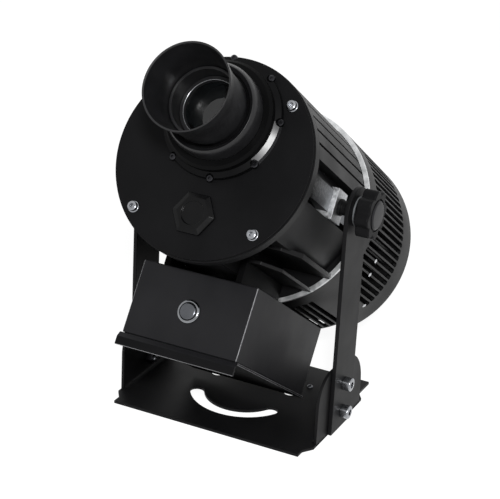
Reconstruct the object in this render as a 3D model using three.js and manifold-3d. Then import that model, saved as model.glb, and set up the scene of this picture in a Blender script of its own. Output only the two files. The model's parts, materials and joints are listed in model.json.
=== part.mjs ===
import * as THREE from "three";
import { mergeVertices } from "three/addons/utils/BufferGeometryUtils.js";
import Module from "manifold-3d";

// A gobo projector: a round finned head with a lens, and a driver box under it, swings in a yoke.
// All lengths are millimetres, all angles degrees. +X is to the right of the lens, -Y in front, +Z up.
// Inside the head, "depth" runs back from the front plate's face and "rise" up across the head's axis.

// Fits that every piece shares
const seatGap = 0.3; // between two pieces that rest on each other
const runningGap = 0.5; // all round a shaft, a stud or a sliding tube
const bodyClearance = 3; // between pieces that swing past each other inside the yoke
const overrun = 2; // how far a cut runs past the face that it leaves
const mergeStep = 0.0001;

// How fine the round shapes are
const largeFacets = 40;
const middleFacets = 24;
const smallFacets = 10;
const arcSteps = 4;
const holeSteps = 2;
const hexagonSides = 6;

// The stance of the head in its yoke
const restTilt = 34;
const pivotDepth = 96.3;
const sweepClearance = 4.54; // from the driver box's lowest corner to the base plate, as the head tilts

// Base plate, with the two ears that it is folded up into
const baseThick = 3;
const baseSetIn = 7.1; // from the ears' outer face in to the plate's sides
const baseFrontReach = 74.1;
const baseBackReach = 97.8;
const baseFlareLength = 10.5;
const earMargin = 5.4; // flat edge between an ear and the slope of the plate's outline
const earThick = 3;
const earFrontReach = 48.6;
const earBackReach = 55.3;
const earHeight = 69;
const earFrontRound = 27;
const earBackRound = 44;
const slotRadius = 47;
const slotWidth = 14;
const slotHalfAngle = 61;

// Arms of the yoke, and the bolts and nuts that hold them to the ears
const armClearance = 6.5; // from the widest part of the head to the arms
const armThick = 4;
const armHalfWidth = 23.2;
const armLift = 1.5;
const boltHeights = [18.5, 48.5];
const boltRadius = 4;
const boltHeadRadius = 6.7;
const boltHeadLength = 8;
const boltSocketRadius = 3.4;
const boltSocketDepth = 4;
const boltTip = 3; // thread past the nut
const nutRadius = 7.5;
const nutLength = 6.5;

// Hand knobs, their studs, and what they clamp
const studRadius = 5;
const studInBlock = 15;
const washerRadius = 14.5;
const washerThick = 1.5;
const knobLength = 18.5;
const knobRadius = 23.7;
const knobNeckRadius = 14;
const knobNeckLength = 3;
const knobCapRadius = 15;
const knobCapRise = 1.4;
const knobLobes = 8;
const knobScallopRadius = 6.5;
const knobScallopDepth = 3.2;
const discLength = 14.5; // of the friction discs, from the blocks out to the arms
const blockHalfDepth = 12.5;
const blockHalfRise = 15;
const frictionDiscRadius = 8;

// Front plate, its screws and the blanking plug
const plateThick = 3;
const plateScrewInset = 9.86; // from the plate's edge to each screw's axis
const plateScrewRadius = 2.5;
const plateScrewHeadRadius = 4.6;
const plateScrewHeadLength = 5;
const plateScrewFlangeRadius = 5.7;
const plateScrewFlangeThick = 1.2;
const plateScrewSocketRadius = 2.3;
const plateScrewSocketDepth = 2.6;
const plateScrewGrip = 6;
const plugAcross = 18.4; // from the hexagon's middle to its flats
const plugInset = 22.6; // from the plate's edge up to the plug
const plugGap = 15; // from the plug up to the lens flange
const plugHeadLength = 5;
const plugShankRadius = 11;
const plugShankLength = 9;

// Lens flange, focus ring, barrel and hood, on the lens axis above the head's own axis
const flangeRadius = 56.5;
const flangeInset = 2.6; // from the plate's edge down to the flange
const flangeThick = 8;
const flangeNotches = 8;
const flangeNotchRadius = 4;
const flangeNotchAngle = 6.5;
const flangeFall = 2.2; // how far the flange's face slopes back towards its edge
const flangeStep = 5; // from the flange's edge in to the drum
const drumLength = 9;
const sleeveRadius = 38;
const sleeveLength = 12;
const spigotRadius = 44;
const spigotLength = 12;
const ringRadius = 43.5;
const ringLength = 19.2;
const ringLipRadius = 36.8;
const ringLipThick = 4;
const ringChamfer = 1.2;
const barrelRadius = 33;
const barrelWall = 2.5;
const barrelFront = 50;
const barrelBack = 27;
const hoodNeckRadius = 35;
const hoodStart = 38;
const hoodFront = 90.8;
const hoodRimRadius = 40.8;
const hoodWall = 1.6;
const hoodLip = 6.3; // depth of the chamfer inside the rim
const hoodSweepShares = [0, 0.04, 0.16, 0.4, 0.74, 1]; // how far the bell has opened

// Lenses and what holds them
const lensRadius = 30.2;
const lensEdge = 4;
const frontLensCrown = 4.5;
const frontLensDepth = -26;
const retainingRingBore = 25.1;
const retainingRingThick = 2.5;
const rearLensDepth = 12;
const rearLensCrown = 5;
const lensRingSteps = 3;
const condenserRadius = 33;
const condenserEdge = 3;
const condenserCrown = 12;
const condenserDepth = 84;
const holderRadius = 40;
const holderWall = 4;
const holderStep = 2.4;

// Body casting: its front ring and its finned part
const plateInset = 1.3; // from the body's edge in to the front plate's
const bodyRingLength = 10;
const opticBore = 45;
const bodyBack = 154.1;
const boreBack = 118;
const coreRadius = 66;
const finPitch = 8; // degrees from fin to fin, all round the head
const finSlit = 2.4;
const finSlitDepth = 11;
const firstSlit = 22;
const channelTop = 22;
const channelBottom = -15.5;
const channelRibReach = 88; // the rib that fills most of each side channel
const channelRibTop = 12;
const channelRibBottom = -9;
const channelRibSlope = 8; // how far the rib's face leans in, up to the channel's top
const panelRadius = 91.3;
const panelLap = 2; // how far the side panels run into the upper fin
const keelHalfWidth = 33.7;
const keelClearance = 7.5; // from the keel down to the driver box
const upperFinRise = 43.5; // from the top of the driver box
const upperFinThick = 5;
const lowerFinRise = 25.2; // from the top of the driver box
const lowerFinThick = 3.4;
const sideFinStart = 57;
const sideFinSlope = 16;
const sideFinLap = 1.5; // how far the side fins' corners run into the bright ring

// Rails that carry the driver box
const railThick = 6;
const railFront = 52;
const railBack = 150;

// Bright ring, slotted shroud and rear cover
const shroudRadius = 101;
const shroudWall = 4;
const shroudRingWidth = 4.5;
const shroudRingThick = 3;
const shroudBack = 312;
const shroudEdge = 3;
const shroudSlotFront = 182;
const shroudSlotBack = 280;
const shroudSlots = 90;
const shroudSlotWidth = 5;
const shroudPlainBand = [38, 54]; // degrees from straight below, where there are no slots
const cableGapFront = 283; // the shroud and its cover are cut away here, behind the driver box
const cableGapTop = -81;
const coverThick = 3;
const coverInset = 3;
const coverRingShares = [0.34, 0.56];
const coverRingWidth = 12;
const coverRibWidth = 6;
const coverSectors = 4;

// Rear heat sink and fan
const sinkHubRadius = 46;
const sinkTipClearance = 5; // from the fins' tips to the inside of the shroud
const sinkFinThick = 2;
const sinkFront = 160;
const sinkBack = 272;
const sinkHubWall = 8;
const sinkHubFloor = 14;
const fanClearance = 16.28; // from the frame's corners to the inside of the shroud
const fanThick = 25;
const fanRim = 2.5; // least thickness of the frame round its opening
const fanCorner = 6;
const fanHubRadius = 18;
const fanPlateThick = 3;
const fanStrutWidth = 5;
const fanBladeGap = 1.5;
const fanBlades = 7;
const fanBladeThick = 1.6;
const fanBladeChord = 17;
const fanBladeTwist = 38;
const fanShaftRadius = 2.5;

// Light engine
const boardRadius = 36;
const boardThick = 3;
const emitterRadius = 13;
const emitterThick = 2.5;

// Gobo, its ring gear, mount, motor and pinion
const goboRadius = 21;
const goboThick = 1.1;
const goboOpening = 18;
const gearModule = 1.5;
const gearTeeth = 36;
const pinionTeeth = 8;
const gearThick = 5;
const gearFront = 38;
const gearSleeveRadius = 24.5;
const gearSleeveLength = 8;
const toothTipShare = 0.62; // a tooth's width at its tip and root, as shares of half the pitch
const toothRootShare = 1.28;
const addendumShare = 0.85;
const dedendumShare = 1.25;
const mountRadius = 44;
const mountThick = 8;
const motorAngle = 205;
const motorRadius = 6.6;
const motorLength = 17;
const motorShaftRadius = 1.5;

// Driver box: cover, tray and what is in it
const boxHalfWidth = 59;
const boxSaddle = 3.5; // how far the shroud dips into the box
const boxHeight = 70;
const boxFront = 49.9;
const boxBack = 234.7;
const boxWall = 2;
const trayThick = 2;
const trayFront = 46;
const lipDrop = 13; // from the cover's lower edge to the lip's
const lipThick = 3;
const lipLedge = 4.8; // height of the slope over the lip
const trayOverhang = 2; // of the tray past the cover's sides
const supplyHalfWidth = 45;
const supplyFront = 92;
const supplyBack = 205;
const supplyHeadroom = 8; // over the supply and the board, up to the cut-out for the shroud
const controlBoardDepth = 78;
const controlBoardThick = 1.6;
const controlBoardHalfWidth = 42;

// Push button
const buttonDrop = 36.9; // from the top of the box
const bezelRadius = 11.2;
const bezelThick = 2.2;
const bezelBody = 9;
const bezelBodyLength = 18;
const buttonRadius = 8;
const buttonLength = 12;
const buttonProud = 1.2;

// Cable gland at the back of the box
const glandDrop = 30.5; // from the top of the box
const glandInset = 27; // from the side of the box
const glandRadius = 12;
const glandFlangeLength = 6;
const glandDomeRadius = 9.5;
const glandDomeLength = 13;
const glandBore = 3.5;
const glandThreadRadius = 8;

// Sizes that follow from those above
const plateRadius = (flangeInset + 2 * flangeRadius + plugGap + 2 * plugAcross + plugInset) / 2;
const plateScrewOffset = (plateRadius - plateScrewInset) * Math.SQRT1_2;
const bodyRadius = plateRadius + plateInset;
const lensRise = plateRadius - flangeInset - flangeRadius;
const plugRise = plugInset + plugAcross - plateRadius;
const drumRadius = flangeRadius - flangeStep;
const shroudBore = shroudRadius - shroudWall;
const ringStart = bodyBack + seatGap;
const shroudFront = ringStart + shroudRingThick + seatGap;
const shroudRingBore = shroudRadius - shroudRingWidth;
const sinkTipRadius = shroudBore - sinkTipClearance;
const fanReach = shroudBore - fanClearance;
const fanHalfSide = (fanCorner + Math.sqrt(2 * fanReach ** 2 - fanCorner ** 2)) / 2;
const fanBore = fanHalfSide - fanRim;
const armInner = Math.max(bodyRadius, shroudRadius) + armClearance;
const baseHalfWidth = armInner - baseSetIn;
const blockOuter = armInner - discLength;
const boxTop = boxSaddle - shroudRadius;
const boxBottom = boxTop - boxHeight;
const trayTop = boxBottom - seatGap;
const lipBottom = boxBottom - lipDrop;
const keelBottom = boxTop + keelClearance;
const upperFinTop = boxTop + upperFinRise;
const lowerFinTop = boxTop + lowerFinRise;
const panelBottom = upperFinTop - panelLap;
const supplyTop = -shroudRadius - bodyClearance - supplyHeadroom;
const buttonRise = boxTop - buttonDrop;
const glandRise = boxTop - glandDrop;
const glandOffset = boxHalfWidth - glandInset;
const boxSweep = Math.hypot(boxBack - pivotDepth, trayTop - trayThick);
const pivotHeight = baseThick + sweepClearance + boxSweep;

// Finishes
const finish = (color, metalness, roughness) => ({ color, metalness, roughness });
const blackPaint = finish(0x17181a, 0.2, 0.55);
const blackAnodised = finish(0x0d0e10, 0.6, 0.4);
const bareAluminium = finish(0xc9cbce, 0.9, 0.35);
const stainless = finish(0xb5b7ba, 1, 0.3);
const zinc = finish(0x9a9ca0, 0.9, 0.4);
const blackSteel = finish(0x2a2a2c, 0.8, 0.45);
const blackPlastic = finish(0x141416, 0, 0.5);
const greyPlastic = finish(0x8c8f92, 0, 0.6);
const brass = finish(0xb08d4a, 0.9, 0.35);
const clearGlass = finish(0xdfeaf0, 0, 0.05);
const boardGreen = finish(0x1f5b3a, 0.1, 0.6);
const emitterYellow = finish(0xe8c640, 0, 0.5);

const wasm = await Module();
wasm.setup();

const radians = THREE.MathUtils.degToRad;
const halfTurn = Math.PI;
const fullTurn = 2 * Math.PI;

// A closed geometry as a solid that can be cut and joined
function solidOf(geometry) {
  const bare = geometry.index ? geometry.toNonIndexed() : geometry.clone();
  bare.deleteAttribute("normal");
  bare.deleteAttribute("uv");
  const merged = mergeVertices(bare, mergeStep);
  const corners = merged.index.array;
  const kept = [];
  for (let i = 0; i < corners.length; i += 3) {
    const [a, b, c] = corners.slice(i, i + 3);
    if (a !== b && b !== c && c !== a) kept.push(a, b, c);
  }
  return new wasm.Manifold(
    new wasm.Mesh({
      numProp: 3,
      vertProperties: merged.attributes.position.array,
      triVerts: new Uint32Array(kept),
    }),
  );
}

const join = (first, ...others) => others.reduce((sum, other) => sum.add(other), first);
const cut = (first, ...tools) => tools.reduce((rest, tool) => rest.subtract(tool), first);

// A solid as a named mesh in a group
function place(group, name, solid, look) {
  const made = solid.getMesh();
  const geometry = new THREE.BufferGeometry();
  geometry.setAttribute("position", new THREE.BufferAttribute(new Float32Array(made.vertProperties), 3));
  geometry.setIndex(new THREE.BufferAttribute(new Uint32Array(made.triVerts), 1));
  const faceted = geometry.toNonIndexed();
  faceted.computeVertexNormals();
  const mesh = new THREE.Mesh(faceted, new THREE.MeshStandardMaterial(look));
  mesh.name = name;
  group.add(mesh);
  return mesh;
}

// A box between two corners
function box(low, high) {
  const size = high.map((value, i) => value - low[i]);
  const middle = high.map((value, i) => (value + low[i]) / 2);
  return solidOf(new THREE.BoxGeometry(...size).translate(...middle));
}

// A profile of [radius, depth] points turned about the depth axis, at a place across it
function turned(profile, facets, x = 0, rise = 0) {
  const area = profile.reduce((sum, [r, d], i) => {
    const [nextR, nextD] = profile[(i + 1) % profile.length];
    return sum + r * nextD - nextR * d;
  }, 0);
  const ordered = area > 0 ? profile : [...profile].reverse();
  const onAxis = ordered.findIndex(([r], i) => r === 0 && ordered[(i + 1) % ordered.length][0] > 0);
  const start = Math.max(onAxis, 0);
  const points = ordered.map((point, i) => ordered[(start + i) % ordered.length]);
  if (onAxis < 0) points.push(points[0]);
  const outline = points.map(([r, d]) => new THREE.Vector2(r, d));
  return solidOf(new THREE.LatheGeometry(outline, facets).translate(x, 0, rise));
}

// A straight round bar along the depth axis
const bar = (radius, from, to, facets, x = 0, rise = 0) =>
  turned([[0, from], [radius, from], [radius, to], [0, to]], facets, x, rise);

// The same along the pivot's axis, from one x to another, at a height and a place across it
function crossBar(profile, facets, side, y = 0, z = 0) {
  const outline = profile.map(([r, x]) => new THREE.Vector2(r, x));
  const geometry = new THREE.LatheGeometry(outline, facets);
  geometry.rotateZ(-side * (halfTurn / 2)).translate(0, y, z);
  return solidOf(geometry);
}
const crossRod = (radius, from, to, facets, side, y = 0, z = 0) =>
  crossBar([[0, from], [radius, from], [radius, to], [0, to]], facets, side, y, z);

// An outline drawn in (x, rise), taken back from one depth to another
function drawn(shape, from, to, curveSegments = holeSteps) {
  const geometry = new THREE.ExtrudeGeometry(shape, { depth: to - from, bevelEnabled: false, curveSegments });
  return solidOf(geometry.rotateX(halfTurn / 2).translate(0, to, 0));
}

// An outline drawn in (y, z), taken from one x to another
function drawnAcross(shape, from, to, curveSegments = holeSteps) {
  const geometry = new THREE.ExtrudeGeometry(shape, { depth: to - from, bevelEnabled: false, curveSegments });
  const turn = new THREE.Matrix4().makeBasis(
    new THREE.Vector3(0, 1, 0),
    new THREE.Vector3(0, 0, 1),
    new THREE.Vector3(1, 0, 0),
  );
  return solidOf(geometry.applyMatrix4(turn).translate(from, 0, 0));
}

// An outline drawn in (x, y), raised from one height to another
function drawnUp(shape, from, to, curveSegments = holeSteps) {
  const geometry = new THREE.ExtrudeGeometry(shape, { depth: to - from, bevelEnabled: false, curveSegments });
  return solidOf(geometry.translate(0, 0, from));
}

function outlineOf(points) {
  return new THREE.Shape(points.map(([u, v]) => new THREE.Vector2(u, v)));
}

function regular(corners, radius, turn = 0) {
  const at = (i) => turn + (fullTurn * i) / corners;
  return outlineOf(
    Array.from({ length: corners }, (unused, i) => [radius * Math.cos(at(i)), radius * Math.sin(at(i))]),
  );
}

const projector = new THREE.Group();

// Base bracket
function baseBracket() {
  const flareFront = earFrontReach + earMargin;
  const flareBack = earBackReach + earMargin;
  const right = [
    [baseHalfWidth, -baseFrontReach],
    [baseHalfWidth, -flareFront - baseFlareLength],
    [armInner, -flareFront],
    [armInner, flareBack],
    [baseHalfWidth, flareBack + baseFlareLength],
    [baseHalfWidth, baseBackReach],
  ];
  const left = right.map(([x, y]) => [-x, y]).reverse();
  const plate = outlineOf([...right, ...left]);
  const middle = (baseBackReach - baseFrontReach) / 2;
  const half = radians(slotHalfAngle);
  for (const facing of [-halfTurn / 2, halfTurn / 2]) {
    const slot = new THREE.Path();
    const from = facing - half;
    const to = facing + half;
    const end = (angle) => [slotRadius * Math.cos(angle), middle + slotRadius * Math.sin(angle)];
    slot.absarc(0, middle, slotRadius + slotWidth / 2, from, to, false);
    slot.absarc(...end(to), slotWidth / 2, to, to + halfTurn, false);
    slot.absarc(0, middle, slotRadius - slotWidth / 2, to, from, true);
    slot.absarc(...end(from), slotWidth / 2, from + halfTurn, from + fullTurn, false);
    plate.holes.push(slot);
  }

  const ear = new THREE.Shape();
  ear.moveTo(-earFrontReach, 0);
  ear.lineTo(earBackReach, 0);
  ear.lineTo(earBackReach, earHeight - earBackRound);
  ear.absarc(earBackReach - earBackRound, earHeight - earBackRound, earBackRound, 0, halfTurn / 2, false);
  ear.lineTo(-earFrontReach + earFrontRound, earHeight);
  ear.absarc(
    -earFrontReach + earFrontRound,
    earHeight - earFrontRound,
    earFrontRound,
    halfTurn / 2,
    halfTurn,
    false,
  );
  for (const height of boltHeights) {
    const clear = new THREE.Path();
    clear.absarc(0, height, boltRadius + runningGap, 0, fullTurn, false);
    ear.holes.push(clear);
  }
  return join(
    drawnUp(plate, 0, baseThick, arcSteps),
    drawnAcross(ear, armInner - earThick, armInner, arcSteps),
    drawnAcross(ear, -armInner, -armInner + earThick, arcSteps),
  );
}
place(projector, "base_bracket", baseBracket(), blackPaint);

// Arms, bolts and nuts
function arm(side) {
  const shape = new THREE.Shape();
  shape.moveTo(-armHalfWidth, armLift);
  shape.lineTo(armHalfWidth, armLift);
  shape.lineTo(armHalfWidth, pivotHeight);
  shape.absarc(0, pivotHeight, armHalfWidth, 0, halfTurn, false);
  const holes = [[pivotHeight, studRadius], ...boltHeights.map((height) => [height, boltRadius])];
  for (const [height, radius] of holes) {
    const hole = new THREE.Path();
    hole.absarc(0, height, radius + runningGap, 0, fullTurn, false);
    shape.holes.push(hole);
  }
  const inner = armInner + seatGap;
  return side > 0
    ? drawnAcross(shape, inner, inner + armThick, arcSteps)
    : drawnAcross(shape, -inner - armThick, -inner, arcSteps);
}

const armOuter = armInner + seatGap + armThick;
const nutOuter = armInner - earThick - seatGap;

function armBolt(side, height) {
  const headStart = armOuter + seatGap;
  const tip = nutOuter - nutLength - boltTip;
  const profile = [
    [0, tip],
    [boltRadius, tip],
    [boltRadius, headStart],
    [boltHeadRadius, headStart],
    [boltHeadRadius, headStart + boltHeadLength],
    [0, headStart + boltHeadLength],
  ];
  const socket = regular(hexagonSides, boltSocketRadius);
  const mouth = headStart + boltHeadLength;
  const from = side > 0 ? mouth - boltSocketDepth : -mouth - overrun;
  const to = side > 0 ? mouth + overrun : -mouth + boltSocketDepth;
  const recess = new THREE.ExtrudeGeometry(socket, { depth: to - from, bevelEnabled: false });
  recess.rotateY(halfTurn / 2).translate(from, 0, height);
  return cut(crossBar(profile, smallFacets, side, 0, height), solidOf(recess));
}

function armNut(side, height) {
  const hexagon = regular(hexagonSides, nutRadius);
  const blank = new THREE.ExtrudeGeometry(hexagon, { depth: nutLength, bevelEnabled: false });
  blank.rotateY(halfTurn / 2).translate(side > 0 ? nutOuter - nutLength : -nutOuter, 0, height);
  const bore = crossRod(
    boltRadius + seatGap,
    nutOuter - nutLength - overrun,
    nutOuter + overrun,
    smallFacets,
    side,
    0,
    height,
  );
  return cut(solidOf(blank), bore);
}

for (const [hand, side] of [["left", -1], ["right", 1]]) {
  place(projector, `arm_${hand}`, arm(side), blackPaint);
  for (const [row, height] of [["lower", boltHeights[0]], ["upper", boltHeights[1]]]) {
    place(projector, `arm_bolt_${hand}_${row}`, armBolt(side, height), stainless);
    place(projector, `arm_nut_${hand}_${row}`, armNut(side, height), blackSteel);
  }
}

// Knobs and the washers under them
const washerInner = armOuter + seatGap;
const knobInner = washerInner + washerThick + seatGap;

function clampWasher(side) {
  const bore = studRadius + runningGap;
  const profile = [
    [bore, washerInner],
    [washerRadius, washerInner],
    [washerRadius, washerInner + washerThick],
    [bore, washerInner + washerThick],
    [bore, washerInner],
  ];
  return crossBar(profile, middleFacets, side, 0, pivotHeight);
}

function clampKnob(side) {
  const outer = knobInner + knobLength;
  const round = knobRadius / knobLobes;
  const profile = [
    [0, blockOuter - studInBlock],
    [studRadius, blockOuter - studInBlock],
    [studRadius, knobInner],
    [knobNeckRadius, knobInner],
    [knobNeckRadius, knobInner + knobNeckLength],
    [knobRadius - round / 2, knobInner + knobNeckLength],
    [knobRadius, knobInner + knobNeckLength + round],
    [knobRadius, outer - round],
    [knobRadius - round, outer - knobCapRise],
    [knobCapRadius, outer - knobCapRise],
    [knobCapRadius - knobCapRise, outer],
    [0, outer],
  ];
  let knob = crossBar(profile, middleFacets, side, 0, pivotHeight);
  const away = knobRadius + knobScallopRadius - knobScallopDepth;
  for (let i = 0; i < knobLobes; i += 1) {
    const angle = (fullTurn * (i + 1 / 2)) / knobLobes;
    const scallop = crossRod(
      knobScallopRadius,
      knobInner - overrun,
      outer + overrun,
      smallFacets,
      side,
      away * Math.cos(angle),
      pivotHeight + away * Math.sin(angle),
    );
    knob = cut(knob, scallop);
  }
  return knob;
}

for (const [hand, side] of [["left", -1], ["right", 1]]) {
  place(projector, `clamp_washer_${hand}`, clampWasher(side), greyPlastic);
  place(projector, `clamp_knob_${hand}`, clampKnob(side), blackPlastic);
}

// The head turns about the pivot, and its pieces are measured back from the front plate's face
const tilting = new THREE.Group();
tilting.position.set(0, 0, pivotHeight);
tilting.rotation.x = -radians(restTilt);
projector.add(tilting);
const head = new THREE.Group();
head.position.set(0, -pivotDepth, 0);
tilting.add(head);

// Pivot blocks in the body's side channels, and the friction discs between them and the arms
for (const [hand, side] of [["left", -1], ["right", 1]]) {
  const span = (from, to) => (side > 0 ? [from, to] : [-to, -from]);
  const [low, high] = span(coreRadius + seatGap, blockOuter);
  const block = box(
    [low, pivotDepth - blockHalfDepth, -blockHalfRise],
    [high, pivotDepth + blockHalfDepth, blockHalfRise],
  );
  const threadDepth = blockOuter - studInBlock - overrun;
  const discBore = studRadius + runningGap;
  const thread = crossRod(discBore, threadDepth, blockOuter + overrun, smallFacets, side, pivotDepth);
  place(head, `pivot_block_${hand}`, cut(block, thread), bareAluminium);
  const discFrom = blockOuter + seatGap;
  const discTo = armInner;
  const disc = [
    [discBore, discFrom],
    [frictionDiscRadius, discFrom],
    [frictionDiscRadius, discTo],
    [discBore, discTo],
    [discBore, discFrom],
  ];
  place(head, `friction_disc_${hand}`, crossBar(disc, middleFacets, side, pivotDepth), blackPlastic);
}

// Front plate
const lensHole = spigotRadius + runningGap;
const plugHole = plugShankRadius + runningGap;
const plateCorners = [[-1, -1], [1, -1], [1, 1], [-1, 1]];

function holesThrough(from, to) {
  const screwHole = plateScrewRadius + runningGap;
  return [
    bar(lensHole, from, to, middleFacets, 0, lensRise),
    bar(plugHole, from, to, smallFacets, 0, plugRise),
    ...plateCorners.map(([i, j]) =>
      bar(screwHole, from, to, smallFacets, i * plateScrewOffset, j * plateScrewOffset),
    ),
  ];
}

place(
  head,
  "front_plate",
  cut(bar(plateRadius, 0, plateThick, largeFacets), ...holesThrough(-overrun, plateThick + overrun)),
  blackPaint,
);

// Screws of the front plate
plateCorners.forEach(([i, j], number) => {
  const top = -seatGap - plateScrewHeadLength;
  const round = plateScrewHeadRadius - plateScrewSocketRadius;
  const profile = [
    [0, top],
    [plateScrewHeadRadius - round / 2, top],
    [plateScrewHeadRadius, top + round / 2],
    [plateScrewHeadRadius, -seatGap - plateScrewFlangeThick],
    [plateScrewFlangeRadius, -seatGap - plateScrewFlangeThick],
    [plateScrewFlangeRadius, -seatGap],
    [plateScrewRadius, -seatGap],
    [plateScrewRadius, plateThick + plateScrewGrip],
    [0, plateThick + plateScrewGrip],
  ];
  const x = i * plateScrewOffset;
  const rise = j * plateScrewOffset;
  const socket = new THREE.ExtrudeGeometry(regular(hexagonSides, plateScrewSocketRadius), {
    depth: plateScrewSocketDepth + overrun,
    bevelEnabled: false,
  });
  socket.rotateX(halfTurn / 2).translate(x, top + plateScrewSocketDepth, rise);
  const screw = cut(turned(profile, smallFacets, x, rise), solidOf(socket));
  place(head, `plate_screw_${number + 1}`, screw, stainless);
});

// Blanking plug under the lens: a hexagon head with a domed crown, on a round shank
function blankingPlug() {
  const face = -seatGap - plugHeadLength;
  const corner = plugAcross / Math.cos(halfTurn / hexagonSides);
  const hexagon = new THREE.ExtrudeGeometry(regular(hexagonSides, corner), {
    depth: plugHeadLength,
    bevelEnabled: false,
  });
  hexagon.rotateX(halfTurn / 2).translate(0, -seatGap, plugRise);
  const crown = turned(
    [
      [0, face - overrun],
      [corner - plugHeadLength, face - overrun],
      [corner + overrun, face + plugHeadLength],
      [0, face + plugHeadLength],
    ],
    middleFacets,
    0,
    plugRise,
  );
  const shank = bar(plugShankRadius, -plugHeadLength, plugShankLength, smallFacets, 0, plugRise);
  return join(solidOf(hexagon).intersect(crown), shank);
}
place(head, "blanking_plug", blankingPlug(), blackPlastic);

// Lens flange: a notched flange, a drum, and the sleeve that guides the barrel
const drumFront = -seatGap - flangeThick - drumLength;
const sleeveFront = drumFront - sleeveLength;
const barrelGuide = barrelRadius + runningGap;

function lensFlange() {
  const profile = [
    [barrelGuide, spigotLength],
    [spigotRadius, spigotLength],
    [spigotRadius, -seatGap],
    [flangeRadius, -seatGap],
    [flangeRadius, -seatGap - flangeThick + flangeFall],
    [drumRadius, -seatGap - flangeThick],
    [drumRadius, drumFront],
    [sleeveRadius, drumFront],
    [sleeveRadius, sleeveFront],
    [barrelGuide, sleeveFront],
  ];
  let flange = turned(profile, largeFacets, 0, lensRise);
  for (let i = 0; i < flangeNotches; i += 1) {
    const angle = radians(flangeNotchAngle) + (fullTurn * i) / flangeNotches;
    const x = flangeRadius * Math.cos(angle);
    const rise = lensRise + flangeRadius * Math.sin(angle);
    const notchBack = -seatGap - flangeThick / 2;
    flange = cut(flange, bar(flangeNotchRadius, drumFront - overrun, notchBack, smallFacets, x, rise));
  }
  return flange;
}
place(head, "lens_flange", lensFlange(), blackAnodised);

// Focus ring, which turns on the sleeve
function focusRing() {
  const back = drumFront - seatGap;
  const front = back - ringLength;
  const bore = sleeveRadius + runningGap;
  const lipBack = sleeveFront - seatGap;
  const lipFront = lipBack - ringLipThick;
  const profile = [
    [bore, back],
    [ringRadius, back],
    [ringRadius, front + ringChamfer],
    [ringRadius - ringChamfer, front],
    [ringLipRadius, lipFront],
    [ringLipRadius, lipBack],
    [bore, lipBack],
  ];
  return turned(profile, largeFacets, 0, lensRise);
}
place(head, "focus_ring", focusRing(), blackAnodised);

// Barrel and hood, which slide together
const barrelBore = barrelRadius - barrelWall;

function lensBarrel() {
  const profile = [
    [barrelBore, -barrelFront],
    [barrelRadius, -barrelFront],
    [barrelRadius, barrelBack],
    [barrelBore, barrelBack],
  ];
  return turned(profile, middleFacets, 0, lensRise);
}
place(head, "lens_barrel", lensBarrel(), blackAnodised);

function lensHood() {
  const length = hoodFront - hoodStart;
  const last = hoodSweepShares.length - 1;
  const outer = hoodSweepShares.map((opened, i) => [
    hoodNeckRadius + (hoodRimRadius - hoodNeckRadius) * opened,
    -hoodStart - (length * i) / last,
  ]);
  const seat = barrelRadius + seatGap;
  const inner = outer
    .map(([radius, depth]) => [Math.max(radius - hoodWall, seat), depth])
    .filter(([, depth]) => -depth < hoodFront - hoodLip)
    .reverse();
  const lip = [inner[0][0] + hoodWall / 2, -hoodFront + hoodLip];
  return turned([...outer, lip, ...inner], largeFacets, 0, lensRise);
}
place(head, "lens_hood", lensHood(), blackAnodised);

// A lens with a flat edge and a crown on each side
function lens(radius, depth, edge, frontCrown, backCrown) {
  const curve = (crown) =>
    Array.from({ length: lensRingSteps + 1 }, (unused, i) => {
      const share = i / lensRingSteps;
      return [radius * share, crown * (1 - share * share)];
    });
  const front = curve(frontCrown).map(([r, bulge]) => [r, depth - edge / 2 - bulge]);
  const back = curve(backCrown).map(([r, bulge]) => [r, depth + edge / 2 + bulge]).reverse();
  return turned([...front, ...back], middleFacets, 0, lensRise);
}
place(
  head,
  "front_lens",
  lens(lensRadius, frontLensDepth, lensEdge, frontLensCrown, frontLensCrown / 2),
  clearGlass,
);
place(head, "rear_lens", lens(lensRadius, rearLensDepth, lensEdge, rearLensCrown, rearLensCrown), clearGlass);

// The retaining ring rests on the lens's crown, at the ring's bore
const crownAtBore = frontLensCrown * (1 - (retainingRingBore / lensRadius) ** 2);
const retainerBack = frontLensDepth - lensEdge / 2 - crownAtBore - seatGap;
place(
  head,
  "retaining_ring",
  turned(
    [
      [retainingRingBore, retainerBack - retainingRingThick],
      [lensRadius, retainerBack - retainingRingThick],
      [lensRadius, retainerBack],
      [retainingRingBore, retainerBack],
    ],
    middleFacets,
    0,
    lensRise,
  ),
  blackAnodised,
);

// Front ring of the body
const bodyFront = plateThick + seatGap;
const ringBack = bodyFront + bodyRingLength;
place(
  head,
  "body_front_ring",
  cut(
    bar(bodyRadius, bodyFront, ringBack, largeFacets),
    ...holesThrough(bodyFront - overrun, ringBack + overrun),
  ),
  blackPaint,
);

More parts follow.
